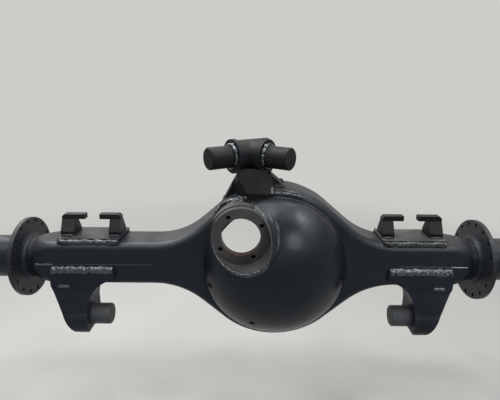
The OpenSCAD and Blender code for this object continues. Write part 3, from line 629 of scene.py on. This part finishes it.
class HOUSING_OT_paint(bpy.types.Operator):
    """Makes the paint finishes and puts them on the solids"""
    bl_idname = "housing.paint"
    bl_label = "Paint the solids"

    def execute(self, context):
        finish = context.scene.housing_paint
        paint_group()
        bore, _, bore_r, _ = mount_named("output_bore")
        pressed = paint_material("pressed_paint", finish, 0.40, 0.30, 0.55)
        dome = paint_material("dome_paint", finish, 0.275, 0.20, 0.42,
                              colour=finish.dome_colour, gloss=0.25)
        cast = paint_material("cast_paint", finish, 0.44, 1.00, 0.60,
                              colour=finish.cast_colour, gloss=0.19)
        plate = paint_material("plate_paint", finish, 0.42, 0.45, 0.50)
        bracket = paint_material("bracket_paint", finish, 0.42, 0.80, 0.55,
                                 colour=finish.bracket_colour, gloss=0.13)
        turned = paint_material("turned_paint", finish, 0.36, 0.25, 0.10, turned=True)
        tower = paint_material("tower_paint", finish, 0.46, 0.90, 0.60,
                               colour=finish.cast_colour, gloss=0.10)
        flange = paint_material("flange_paint", finish, 0.42, 0.45, 0.50, colour=finish.flange_colour)
        # Painted highlight: three times the usual top lightening, partly dust, stands in for a lamp's
        # reflection on the right pad's top.
        dust_and_sheen = paint_material("dust_and_highlight_paint", finish, 0.44, 0.45, 0.50, dust_and_sheen_share=3.0)
        boss = paint_material("boss_paint", finish, 0.42, 0.55, 0.25,
                              colour=finish.boss_colour, rust=(bore, bore_r))
        weld = paint_material("weld_paint", finish, 0.30, 0.60, 0.60,
                              colour=finish.weld_colour, gloss=0.34)
        for name, roughness, gloss in (("soft_weld_paint", 0.22, 0.60),
                                       ("bright_weld_paint", 0.15, finish.weld_gloss)):
            paint_material(name, finish, roughness, 0.50, 0.50, colour=finish.bright_colour, gloss=gloss)
        paint_material("thread_paint", finish, 0.42, 0.50, 0.20, dust_and_sheen_share=0.4)
        finishes = {
            "upper_half": pressed, "lower_half": pressed, "dome_cover": dome, "output_boss": boss,
            "carrier_ring": plate, "rod_tower": tower}
        for side, _ in SIDES:
            finishes[f"{side}_spindle"] = turned
            finishes[f"{side}_brake_flange"] = flange
            # The right pad takes the paint with the painted highlight.
            finishes[f"{side}_saddle_pad"] = plate if side == "left" else dust_and_sheen
            finishes[f"{side}_outer_hook"] = cast if side == "left" else tower
            finishes[f"{side}_inner_hook"] = cast if side == "left" else tower
            finishes[f"{side}_rod_bracket"] = bracket
            # The rod pins' light colour is partly painted sheen in place of their highlights.
            for pin, roughness, colour, gloss in (("tower_pin", 0.44, finish.pin_colour, 0.09),
                                                  ("rod_pin", 0.30, finish.rod_pin_colour_and_sheen, 0.07)):
                finishes[f"{side}_{pin}"] = paint_material(
                    f"{side}_{pin}_paint", finish, roughness, 0.30, 0.15, colour=colour, gloss=gloss,
                    turned=True, end=mount_named(f"{side}_{pin}_end")[1])
        for name, node in frame["nodes"].items():
            node.data.materials.clear()
            node.data.materials.append(finishes.get(name, weld))
        for side, _ in SIDES:
            for piece, width in SOFT_EDGES.items():
                self.soften(frame["nodes"][f"{side}_{piece}"], width)
        self.soften(frame["nodes"]["rod_tower"], TOWER_SOFT_EDGE)
        return {"FINISHED"}

    @staticmethod
    def soften(node, width):
        """Rounds the sharp edges of a solid a little."""
        bevel = node.modifiers.new("soft_edges", "BEVEL")
        bevel.width = width
        bevel.segments = 2
        bevel.limit_method = "ANGLE"
        bevel.angle_limit = math.radians(38)
        bevel.harden_normals = True


class HOUSING_OT_seam_beads(bpy.types.Operator):
    """Lays the long seams between the pressed halves and their run-out along the necks"""
    bl_idname = "housing.seam_beads"
    bl_label = "Seam beads"

    def execute(self, context):
        sizes = context.scene.housing_welds
        low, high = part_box("seam_welds")
        half = Z_AXIS * high.z
        beam = ((low.x, -RISE_X["left"]), (RISE_X["right"], high.x))
        necks = ((low.x - NECK_SEAM, low.x), (high.x, high.x + NECK_SEAM))
        seams = self.lay_seams(sizes, beam, half, crown=0.0006, rippled=1)
        weld_piece("seam_beads", seams, "seam_welds")
        ends = self.lay_seams(sizes, necks, half, crown=0.0020, rippled=0.3)
        weld_piece("neck_seam_beads", ends, finish="bright_weld_paint")
        return {"FINISHED"}

    @staticmethod
    def lay_seams(sizes, runs, half, crown, rippled):
        """Lays runs along the middle of both faces of the beam."""
        bm = bmesh.new()
        for face in (-1, 1):
            root = Y_AXIS * BEAM_HALF * face
            for seed, (start, end) in enumerate(runs):
                section = straight_section(
                    root + X_AXIS * start, root + X_AXIS * end, half, -half, Y_AXIS * face)
                lay_bead(bm, section, sizes, seed + 2.7 * face, crown=crown, shape=lambda t: (1, rippled))
        return bm


class HOUSING_OT_dome_bead(bpy.types.Operator):
    """Lays the bead round the foot of the dome, between the two sides of the boss"""
    bl_idname = "housing.dome_bead"
    bl_label = "Dome bead"

    def execute(self, context):
        sizes = context.scene.housing_welds
        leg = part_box("dome_weld_ring")[1].z - DOME_R
        boss = node_centre("output_boss")
        lap = 0.003
        boss_r = node_size("output_boss").x / 2 - lap
        free = [a for a in range(360) if self.reach(a, boss) > boss_r]
        start = next(a for a in free if (a - 1) % 360 not in free)
        end = next(a for a in free if (a + 1) % 360 not in free)
        sweep = (end - start) % 360

        def section(t):
            turned = start + sweep * t
            radial = spoke(math.radians(turned))
            root = Vector((BOWL_X, -BEAM_HALF, 0)) + radial * DOME_R
            fill = leg * between((turned + 180) % 360, FULL_TOP)
            return root, radial * fill, -Y_AXIS * fill, (radial - Y_AXIS).normalized()
        bm = bmesh.new()
        lay_bead(bm, section, sizes, 4.2, crown=0.0008)
        weld_piece("dome_bead", bm, "dome_weld_ring")
        return {"FINISHED"}

    @staticmethod
    def reach(degrees, boss):
        """Distance of a point of the dome's foot from the boss's axis."""
        angle = math.radians(degrees)
        return math.hypot(BOWL_X + DOME_R * math.cos(angle) - boss.x, DOME_R * math.sin(angle) - boss.z)


class HOUSING_OT_boss_bead(bpy.types.Operator):
    """Lays the bead on the dome round the output boss and the smooth, broad flare beside it"""
    bl_idname = "housing.boss_bead"
    bl_label = "Boss bead"

    def execute(self, context):
        sizes = context.scene.housing_welds
        bead = self.lay_round(BOSS_BEAD, sizes, lumps=0.0018)
        weld_piece("boss_bead", bead, "boss_weld", finish="soft_weld_paint")
        weld_piece("boss_flare", self.lay_round(BOSS_FLARE, sizes), finish="dome_paint")
        return {"FINISHED"}

    def lay_round(self, marks, sizes, lumps=0.0):
        """A run on the dome's wall round the boss. Its radii, ripples and crown are read off marks in
        degrees."""
        centre = node_centre("output_boss")
        first, last = marks["inner"][0][0], marks["inner"][-1][0]
        sunk, lip = 0.0008, 0.0012

        def section(t):
            turned = first + (last - first) * t
            radial = spoke(math.radians(turned))
            inner = self.on_wall(centre + radial * between(turned, marks["inner"]))
            outer = self.on_wall(centre + radial * between(turned, marks["outer"]))
            root = (inner + outer) / 2
            out = (outer - inner).cross(Vector((-radial.z, 0, radial.x)).normalized()).normalized()
            if out.y > 0:
                out = -out
            return root - out * sunk, inner - root + out * lip, outer - root, out

        def shape(t):
            turned = first + (last - first) * t
            return between(turned, marks["crown"]), between(turned, marks["ripples"])
        bm = bmesh.new()
        lay_bead(bm, section, sizes, 6.6, closed=last - first == 360, crown=1, shape=shape, lumps=lumps)
        return bm

    @staticmethod
    def on_wall(point):
        """The point of the dome or of the bowl's wall in front of another point."""
        return Vector((point.x, -BEAM_HALF - bowl_wall_height(point.x, point.z), point.z))


class HOUSING_OT_flange_beads(bpy.types.Operator):
    """Lays the smooth, hollow rings on both faces of each brake flange"""
    bl_idname = "housing.flange_beads"
    bl_label = "Flange beads"

    def execute(self, context):
        sizes = context.scene.housing_welds
        hollow = 0.16
        for side, sign in SIDES:
            weld = f"{side}_flange_welds"
            near, far = sorted(abs(corner.x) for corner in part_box(weld))
            inner, outer = sorted(abs(corner.x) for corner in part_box(f"{side}_brake_flange"))
            bm = bmesh.new()
            for place, leg, way in ((inner, inner - near, -1), (outer, far - outer, 1)):
                section = ring_section(X_AXIS * place * sign, X_AXIS, NECK_R, leg * way * sign, leg)
                lay_bead(bm, section, sizes, place * 100 + sign, closed=True, crown=-leg * hollow,
                         shape=lambda t: (1, 0.2))
            weld_piece(f"{side}_flange_beads", bm, weld, finish="pressed_paint")
        return {"FINISHED"}


class HOUSING_OT_neck_skins(bpy.types.Operator):
    """Smooths the pressed run from the square beam to each round neck"""
    bl_idname = "housing.neck_skins"
    bl_label = "Neck skins"

    def execute(self, context):
        start, end = (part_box("upper_half")[1].x - back for back in NECK_RUN)
        first, last = NECK_HALF[0][0], NECK_HALF[-1][0]
        for side, sign in SIDES:
            outer, inner = [], []
            for i in range(NECK_ROWS + 1):
                share = first + (last - first) * i / NECK_ROWS
                x = sign * (start + (end - start) * share)
                half = between(share, NECK_HALF)
                corner = CORNER + (BEAM_HALF - CORNER) * min(1, max(0, share)) ** 2
                outer.append(self.ring(x, half, corner))
                inner.append(self.ring(x, half - NECK_SKIN, corner - NECK_SKIN))
            bm = bmesh.new()
            skin_rows(bm, outer + inner[::-1], closed=True)
            finish_piece(f"{side}_neck_skin", bm, bpy.data.materials["pressed_paint"], PAINT_SLOT)
        return {"FINISHED"}

    @staticmethod
    def ring(x, half, corner):
        """A square with rounded corners across the beam."""
        least_flat = 0.0002
        flat = max(least_flat, half - corner)
        radius = half - flat
        points = []
        for quarter in range(4):
            middle = math.pi / 2 * (quarter + 0.5)
            y, z = math.copysign(flat, math.cos(middle)), math.copysign(flat, math.sin(middle))
            for k in range(NECK_CORNER_STEPS + 1):
                angle = math.pi / 2 * (quarter + k / NECK_CORNER_STEPS)
                points.append(Vector((x, y + radius * math.cos(angle), z + radius * math.sin(angle))))
        return points


class HOUSING_OT_tower_beads(bpy.types.Operator):
    """Lays the beads at the tower's foot and on the bowl's rim next to it, and blends its front rib"""
    bl_idname = "housing.tower_beads"
    bl_label = "Tower beads"

    def execute(self, context):
        sizes = context.scene.housing_welds
        rib = [foot[0] for _, foot, _ in RIB_BLENDS]
        column = [flank[0] for _, _, flank in RIB_BLENDS]
        ends = [math.acos((x - BOWL_X) / BOWL_R) for x in reversed(column)]
        rib_angles = [math.acos((x - BOWL_X) / BOWL_R) for x in reversed(rib)]
        bm = bmesh.new()
        for seed, (face, start, end) in enumerate((
                (1, ends[0], ends[1]), (-1, ends[0], rib_angles[0]), (-1, rib_angles[1], ends[1]))):
            section = self.foot_section(face * COLUMN_DEPTH, start, end)
            lay_bead(bm, section, sizes, seed * 3.3, crown=0.0022)
        weld_piece("tower_beads", bm, "tower_welds")
        bm = bmesh.new()
        for start, end, lean, width in RIM_PASSES:
            section = self.rim_section(start, end, lean, width)
            lay_bead(bm, section, sizes, start, crown=0.0022, lumps=0.0016)
        for x, way in zip(rib, (-1, 1)):
            section = self.rib_section(x, way, TOWER_LEG * 1.2)
            lay_bead(bm, section, sizes, x * 90, crown=0.0022, lumps=0.0020)
        weld_piece("rim_beads", bm, finish="soft_weld_paint")
        bm = bmesh.new()
        for top, foot, flank in RIB_BLENDS:
            rows = self.blend_rows(*(Vector((x, -COLUMN_DEPTH, z)) for x, z in (top, foot, flank)))
            skin_rows(bm, rows, closed=False)
        finish_piece("rib_blends", bm, bpy.data.materials["tower_paint"], PAINT_SLOT)
        return {"FINISHED"}

    @staticmethod
    def blend_rows(top, foot, flank):
        """A blend from the rib's front edge to the column's front face, round at one and hollow at the
        other, that spreads down from the head."""
        run = foot - top
        down = run.normalized()
        flat = (flank - top).normalized()
        away = (flat - down * flat.dot(down)).normalized()
        spread = 0.8 * math.tan(down.angle(flat))
        count, lap, proud, least_wide, sunk = 14, 0.004, 0.0004, 0.001, 0.002
        rows = []
        for i in range(count + 1):
            root = top + run * i / count
            deep = between(-root.z, RIB_FRONT) - COLUMN_DEPTH + proud
            wide = min(least_wide + spread * run.length * i / count, deep)
            row = [root + Y_AXIS * sunk]
            for k in range(count + 1):
                u = k / count
                fall = 1 - u * u * (3 - 2 * u)
                row.append(root + away * (wide * u - lap * (1 - u)) - Y_AXIS * deep * fall)
            rows.append(row)
        return rows

    @staticmethod
    def foot_section(y, start, end):
        """A run round the bowl's crown, one toe up the column and one along the bowl."""
        side = math.copysign(1, y)

        def section(t):
            radial = spoke(start + (end - start) * t)
            root = Vector((BOWL_X, y, 0)) + radial * BOWL_R
            along = Y_AXIS * side
            return root, radial * TOWER_LEG, along * TOWER_LEG, (radial + along).normalized()
        return section

    @staticmethod
    def rib_section(x, way, leg):
        """A run down the rounded rim beside the rib."""
        sweep = math.radians(82)

        def section(t):
            angle = sweep * t
            reach = BOWL_R - CORNER + CORNER * math.cos(angle)
            height = math.sqrt(reach ** 2 - (x - BOWL_X) ** 2)
            radial = Vector((x - BOWL_X, 0, height)).normalized()
            root = Vector((x, -BEAM_HALF + CORNER - CORNER * math.sin(angle), height))
            up = radial * math.cos(angle) - Y_AXIS * math.sin(angle)
            across = X_AXIS * way
            return root, up * leg, across * leg, (up + across).normalized()
        return section

    @staticmethod
    def rim_section(start, end, lean, width):
        """A run along the bowl's rounded rim between two angles in degrees, leaning to the front."""
        tip = math.radians(lean)

        def section(t):
            radial = spoke(math.radians(start + (end - start) * t))
            out = radial * math.cos(tip) - Y_AXIS * math.sin(tip)
            across = radial * math.sin(tip) + Y_AXIS * math.cos(tip)
            root = Vector((BOWL_X, CORNER - BEAM_HALF, 0)) + radial * (BOWL_R - CORNER) + out * CORNER
            half = across * width / 2 - out * width ** 2 / (8 * CORNER)
            return root, half, half - across * width, out
        return section


class HOUSING_OT_saddle_beads(bpy.types.Operator):
    """Lays the beads along the long edges of the saddle pads and at the feet of the hooks"""
    bl_idname = "housing.saddle_beads"
    bl_label = "Saddle beads"

    def execute(self, context):
        sizes = context.scene.housing_welds
        for side, sign in SIDES:
            weld = f"{side}_saddle_welds"
            low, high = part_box(weld)
            pad_low, pad_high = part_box(f"{side}_saddle_pad")
            bm = bmesh.new()
            for face in (-1, 1):
                section = self.edge_section(side, face, pad_low.x, pad_high, low.z, high)
                lay_bead(bm, section, sizes, sign + face * 0.4, crown=0.0052, shape=heavy_ends,
                         lumps=0.0026)
            weld_piece(f"{side}_saddle_beads", bm, weld, finish="soft_weld_paint")
            bm = bmesh.new()
            for hook in (f"{side}_outer_hook", f"{side}_inner_hook"):
                self.lay_foot(bm, hook, pad_high.z, sizes)
            weld_piece(f"{side}_hook_beads", bm)
        return {"FINISHED"}

    @staticmethod
    def edge_section(side, face, start, pad, low_z, high):
        """A run along a pad's edge that climbs with the beam where the beam rises to the bowl."""
        depth = pad.y
        cover = 0.004
        out = Vector((0, face, 0.7)).normalized()
        drop = math.sqrt(CORNER ** 2 - (depth - BEAM_HALF + CORNER) ** 2)
        flat_z = BEAM_HALF - CORNER + drop
        toe = Vector((0, (high.y - depth) * face, low_z - flat_z))

        def section(t):
            x = start + (pad.x - start) * t
            past = max(0, RISE_X[side] - abs(x))
            rise = RISE_R - math.sqrt(RISE_R ** 2 - past ** 2)
            root = Vector((x, depth * face, min(flat_z + rise, pad.z - cover)))
            return root, Z_AXIS * (high.z - root.z), toe, out
        return section

    @staticmethod
    def lay_foot(bm, hook, pad_z, sizes):
        """Short runs along the front and back of a hook's foot."""
        leg, near = 0.0055, 0.0002
        foot = [v.co for v in frame["nodes"][hook].data.vertices if abs(v.co.z - pad_z) < near]
        start, end = min(co.x for co in foot), max(co.x for co in foot)
        for face, y in ((-1, min(co.y for co in foot)), (1, max(co.y for co in foot))):
            root = Vector((0, y, pad_z))
            section = straight_section(root + X_AXIS * start, root + X_AXIS * end, Z_AXIS * leg,
                                       Y_AXIS * leg * face, Vector((0, face, 1)))
            lay_bead(bm, section, sizes, y * 300 + start, crown=0.0012)


class HOUSING_OT_bracket_beads(bpy.types.Operator):
    """Lays the beads along the top edges of the rod brackets and fills their plug slots"""
    bl_idname = "housing.bracket_beads"
    bl_label = "Bracket beads"

    def execute(self, context):
        sizes = context.scene.housing_welds
        climb, drop, proud = 0.003, 0.008, 0.0008
        for side, sign in SIDES:
            weld = f"{side}_bracket_welds"
            low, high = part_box(weld)
            plate_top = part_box(f"{side}_rod_bracket")[1].z
            front = high.y - BRACKET_FRONT
            bm = bmesh.new()
            root = Vector((0, high.y, plate_top))
            section = straight_section(
                root + X_AXIS * low.x, root + X_AXIS * high.x, Z_AXIS * (high.z - plate_top + climb),
                Vector((0, front - proud - high.y, -drop)), Vector((0, -1, 0.8)))
            lay_bead(bm, section, sizes, 8 + sign, crown=0.0050, lumps=0.0030)
            plug = Vector((PLUG_X * sign, front, -BEAM_HALF))
            half, reach = Z_AXIS * PLUG_HALF, X_AXIS * PLUG_REACH
            section = straight_section(plug - reach, plug + reach, half, -half, -Y_AXIS)
            lay_bead(bm, section, sizes, sign * 5, crown=0.0026, lumps=0.0016)
            weld_piece(f"{side}_bracket_beads", bm, weld, finish="bright_weld_paint")
        return {"FINISHED"}


class HOUSING_OT_pin_beads(bpy.types.Operator):
    """Lays the welds round the roots of the four pins: lumpy runs on the tower, thin rings below"""
    bl_idname = "housing.pin_beads"
    bl_label = "Pin beads"

    def execute(self, context):
        sizes = context.scene.housing_welds
        for side, sign in SIDES:
            for kind, finish in (("tower_pin", "bright_weld_paint"), ("rod_pin", "weld_paint")):
                middle, axis, _, length = mount_named(f"{side}_{kind}_end")
                root = middle - axis * (length + PIN_CHAMFER) / 2
                bm = bmesh.new()
                if kind == "rod_pin":
                    section = ring_section(root, axis, PIN_R, ROD_PIN_LEG, ROD_PIN_LEG)
                    lay_bead(bm, section, sizes, sign, closed=True, crown=0.0006)
                else:
                    for start, end, leg in TOWER_PIN_RUNS:
                        section = self.arc_section(root, axis, start, end, leg)
                        lay_bead(bm, section, sizes, sign + start, crown=0.0022)
                weld_piece(f"{side}_{kind}_bead", bm, finish=finish)
        return {"FINISHED"}

    @staticmethod
    def arc_section(centre, axis, start, end, leg):
        """Part of a fillet round a pin, between two angles in degrees from its top to the dome side."""
        top = (Z_AXIS - axis * axis.z).normalized()
        front = axis.cross(top)
        if front.y > 0:
            front = -front

        def section(t):
            angle = math.radians(start + (end - start) * t)
            radial = top * math.cos(angle) + front * math.sin(angle)
            fill = leg * (1 + 0.35 * noise.noise(Vector((angle * 4, leg * 900, axis.x))))
            return centre + radial * PIN_R, axis * fill, radial * fill, (axis + radial).normalized()
        return section


class HOUSING_OT_threads(bpy.types.Operator):
    """Cuts the threads on the spindle ends and in the plug holes and tapped holes"""
    bl_idname = "housing.threads"
    bl_label = "Threads"

    def execute(self, context):
        sizes = context.scene.housing_threads
        thread = bpy.data.materials["thread_paint"]
        back, shaft_r, run, key_half = SPINDLE_THREAD
        bare_end = 0.001
        for side, sign in SIDES:
            end = max(abs(corner.x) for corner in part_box(f"{side}_spindle"))
            bm = bmesh.new()
            self.thread_skin(bm, X_AXIS * sign * (end - back), X_AXIS * sign, shaft_r, run,
                             sizes.spindle_pitch, sizes.depth, key_half)
            finish_piece(f"{side}_spindle_thread", bm, thread, PAINT_SLOT)
        for name in ("level_hole", "drain_hole"):
            middle, axis, radius, length = mount_named(name)
            length -= 2 * bare_end
            bm = bmesh.new()
            self.thread_skin(bm, middle - axis * length / 2, axis, radius, length,
                             sizes.hole_pitch, -sizes.depth)
            finish_piece(f"{name}_thread", bm, thread, PAINT_SLOT)
        for name, (first, depth) in TAPPED.items():
            bm = bmesh.new()
            for place, axis, radius in bolt_places(name, first):
                self.thread_skin(bm, place - axis * depth, axis, radius, depth - bare_end,
                                 sizes.hole_pitch, -sizes.depth, around=32)
            finish_piece(f"{name}_threads", bm, thread, PAINT_SLOT)
        return {"FINISHED"}

    @staticmethod
    def thread_skin(bm, start, axis, radius, length, pitch, depth, key_half=0.0, around=72):
        """A ridged sleeve on a shaft, or in a hole where its depth is below 0, with its root and its back
        sunk in the wall. It is left open over the half angle of a keyway at its top."""
        root_sunk, back_sunk = 0.0001, 0.0006
        top = (Z_AXIS - axis * axis.z).normalized()
        side = axis.cross(top)
        way = math.copysign(1, depth)
        along = int(length / pitch * 6)
        rows = []
        for k in range(around + 1 if key_half else around):
            angle = key_half + (2 * math.pi - 2 * key_half) * k / around
            radial = top * math.cos(angle) + side * math.sin(angle)
            row = []
            for i in range(along + 1):
                run = length * i / along
                phase = (run / pitch - angle / (2 * math.pi)) % 1
                ridge = 0 if i in (0, along) else 1 - abs(2 * phase - 1)
                row.append(start + axis * run + radial * (radius - root_sunk * way + depth * ridge))
            for run in (length, 0):
                row.append(start + axis * run + radial * (radius - back_sunk * way))
            rows.append(row)
        skin_rows(bm, rows, closed=not key_half)


class HOUSING_OT_stage(bpy.types.Operator):
    """Sets the floor, the lamps, the sky and the camera"""
    bl_idname = "housing.stage"
    bl_label = "Studio"

    def execute(self, context):
        studio = context.scene.housing_studio
        self.lay_floor(studio)
        self.light_sky(context.scene, studio)
        for name, (place, target, size, power) in LAMPS.items():
            self.hang_lamp(name, Vector(place), Vector(target), size, power)
        self.set_camera(context.scene, studio)
        context.scene.view_settings.view_transform = "Standard"
        return {"FINISHED"}

    @staticmethod
    def lay_floor(studio):
        """A pale floor below the housing that goes over into the backdrop far away."""
        bm = bmesh.new()
        bmesh.ops.create_grid(bm, x_segments=8, y_segments=8, size=studio.floor_size / 2)
        mesh = bpy.data.meshes.new("floor")
        bm.to_mesh(mesh)
        bm.free()
        floor = bpy.data.objects.new("floor", mesh)
        floor.location.z = CAD_BOX[0][2] - studio.floor_drop
        bpy.context.scene.collection.objects.link(floor)
        material = bpy.data.materials.new("pale_floor")
        material.use_nodes = True
        tree = material.node_tree
        shader = tree.nodes["Principled BSDF"]
        coords = add_node(tree, "ShaderNodeTexCoord")
        shade = range_node(tree, noise_value(tree, coords, 3, 3), 0.3, 0.7, 0, 1)
        darker = [channel * 0.96 for channel in studio.floor_colour[:3]] + [1]
        tree.links.new(mix_colours(tree, shade, darker, studio.floor_colour), shader.inputs["Base Color"])
        shader.inputs["Roughness"].default_value = 0.8
        glow = add_node(tree, "ShaderNodeEmission")
        glow.inputs["Color"].default_value = studio.backdrop_colour
        away = vector_node(tree, "LENGTH", coords.outputs["Object"])
        far = range_node(tree, away.outputs["Value"], 0.7, 3.0, 0, 1)
        faded = math_node(tree, "MULTIPLY", far, seen_rays(tree))
        show_mixed(tree, "Material Output", faded, shader, glow)
        mesh.materials.append(material)

    @staticmethod
    def light_sky(scene, studio):
        """A dim even sky that the camera and gloss see as a pale backdrop."""
        world = bpy.data.worlds.new("studio_sky")
        world.use_nodes = True
        tree = world.node_tree
        sky = tree.nodes["Background"]
        sky.inputs["Color"].default_value = (0.92, 0.95, 1.0, 1)
        sky.inputs["Strength"].default_value = 0.30
        backdrop = add_node(tree, "ShaderNodeBackground")
        backdrop.inputs["Color"].default_value = studio.backdrop_colour
        backdrop.inputs["Strength"].default_value = 1.0
        show_mixed(tree, "World Output", seen_rays(tree), sky, backdrop)
        scene.world = world

    @staticmethod
    def hang_lamp(name, place, target, size, power):
        """A flat lamp that looks at a point."""
        data = bpy.data.lights.new(name, "AREA")
        data.shape = "RECTANGLE"
        data.size, data.size_y = size
        data.energy = power
        lamp = bpy.data.objects.new(name, data)
        lamp.location = place
        lamp.rotation_euler = (target - place).to_track_quat("-Z", "Y").to_euler()
        bpy.context.scene.collection.objects.link(lamp)

    @staticmethod
    def set_camera(scene, studio):
        """The camera at the photo's viewing angle."""
        data = bpy.data.cameras.new("photo_camera")
        data.sensor_fit = "HORIZONTAL"
        data.sensor_width = 36
        data.lens = studio.lens
        camera = bpy.data.objects.new("photo_camera", data)
        level = math.cos(studio.tilt)
        ahead = Vector((
            -math.sin(studio.turn) * level, math.cos(studio.turn) * level, -math.sin(studio.tilt)))
        right = ahead.cross(Z_AXIS).normalized()
        up = right.cross(ahead)
        leaning = Matrix.Rotation(studio.roll, 3, "Z")
        turned = Matrix((right, up, -ahead)).transposed() @ leaning
        camera.matrix_world = Matrix.Translation(Vector(studio.eye)) @ turned.to_4x4()
        scene.collection.objects.link(camera)
        scene.camera = camera


OPERATORS = (
    HOUSING_OT_paint, HOUSING_OT_seam_beads, HOUSING_OT_dome_bead, HOUSING_OT_boss_bead,
    HOUSING_OT_flange_beads, HOUSING_OT_neck_skins, HOUSING_OT_tower_beads, HOUSING_OT_saddle_beads,
    HOUSING_OT_bracket_beads, HOUSING_OT_pin_beads, HOUSING_OT_threads, HOUSING_OT_stage)


class HOUSING_PT_panel(bpy.types.Panel):
    """Lists the sizes, colours and steps of the housing"""
    bl_label = "Axle Housing"
    bl_idname = "HOUSING_PT_panel"
    bl_space_type = "VIEW_3D"
    bl_region_type = "UI"
    bl_category = "Housing"

    def draw(self, context):
        for name in GROUPS:
            box = self.layout.box()
            settings = getattr(context.scene, name)
            for key in settings.__annotations__:
                box.prop(settings, key)
        for operator in OPERATORS:
            self.layout.operator(operator.bl_idname)


GROUPS = {
    "housing_paint": PaintFinish, "housing_welds": WeldSizes, "housing_threads": ThreadSizes,
    "housing_studio": StudioSizes}
CLASSES = (*GROUPS.values(), *OPERATORS, HOUSING_PT_panel)


def register():
    for cls in CLASSES:
        bpy.utils.register_class(cls)
    for name, cls in GROUPS.items():
        setattr(bpy.types.Scene, name, PointerProperty(type=cls))


def unregister():
    for name in GROUPS:
        delattr(bpy.types.Scene, name)
    for cls in reversed(CLASSES):
        bpy.utils.unregister_class(cls)


def main():
    register()
    for operator in OPERATORS:
        family, verb = operator.bl_idname.split(".")
        getattr(getattr(bpy.ops, family), verb)()


if __name__ == "__main__":
    main()
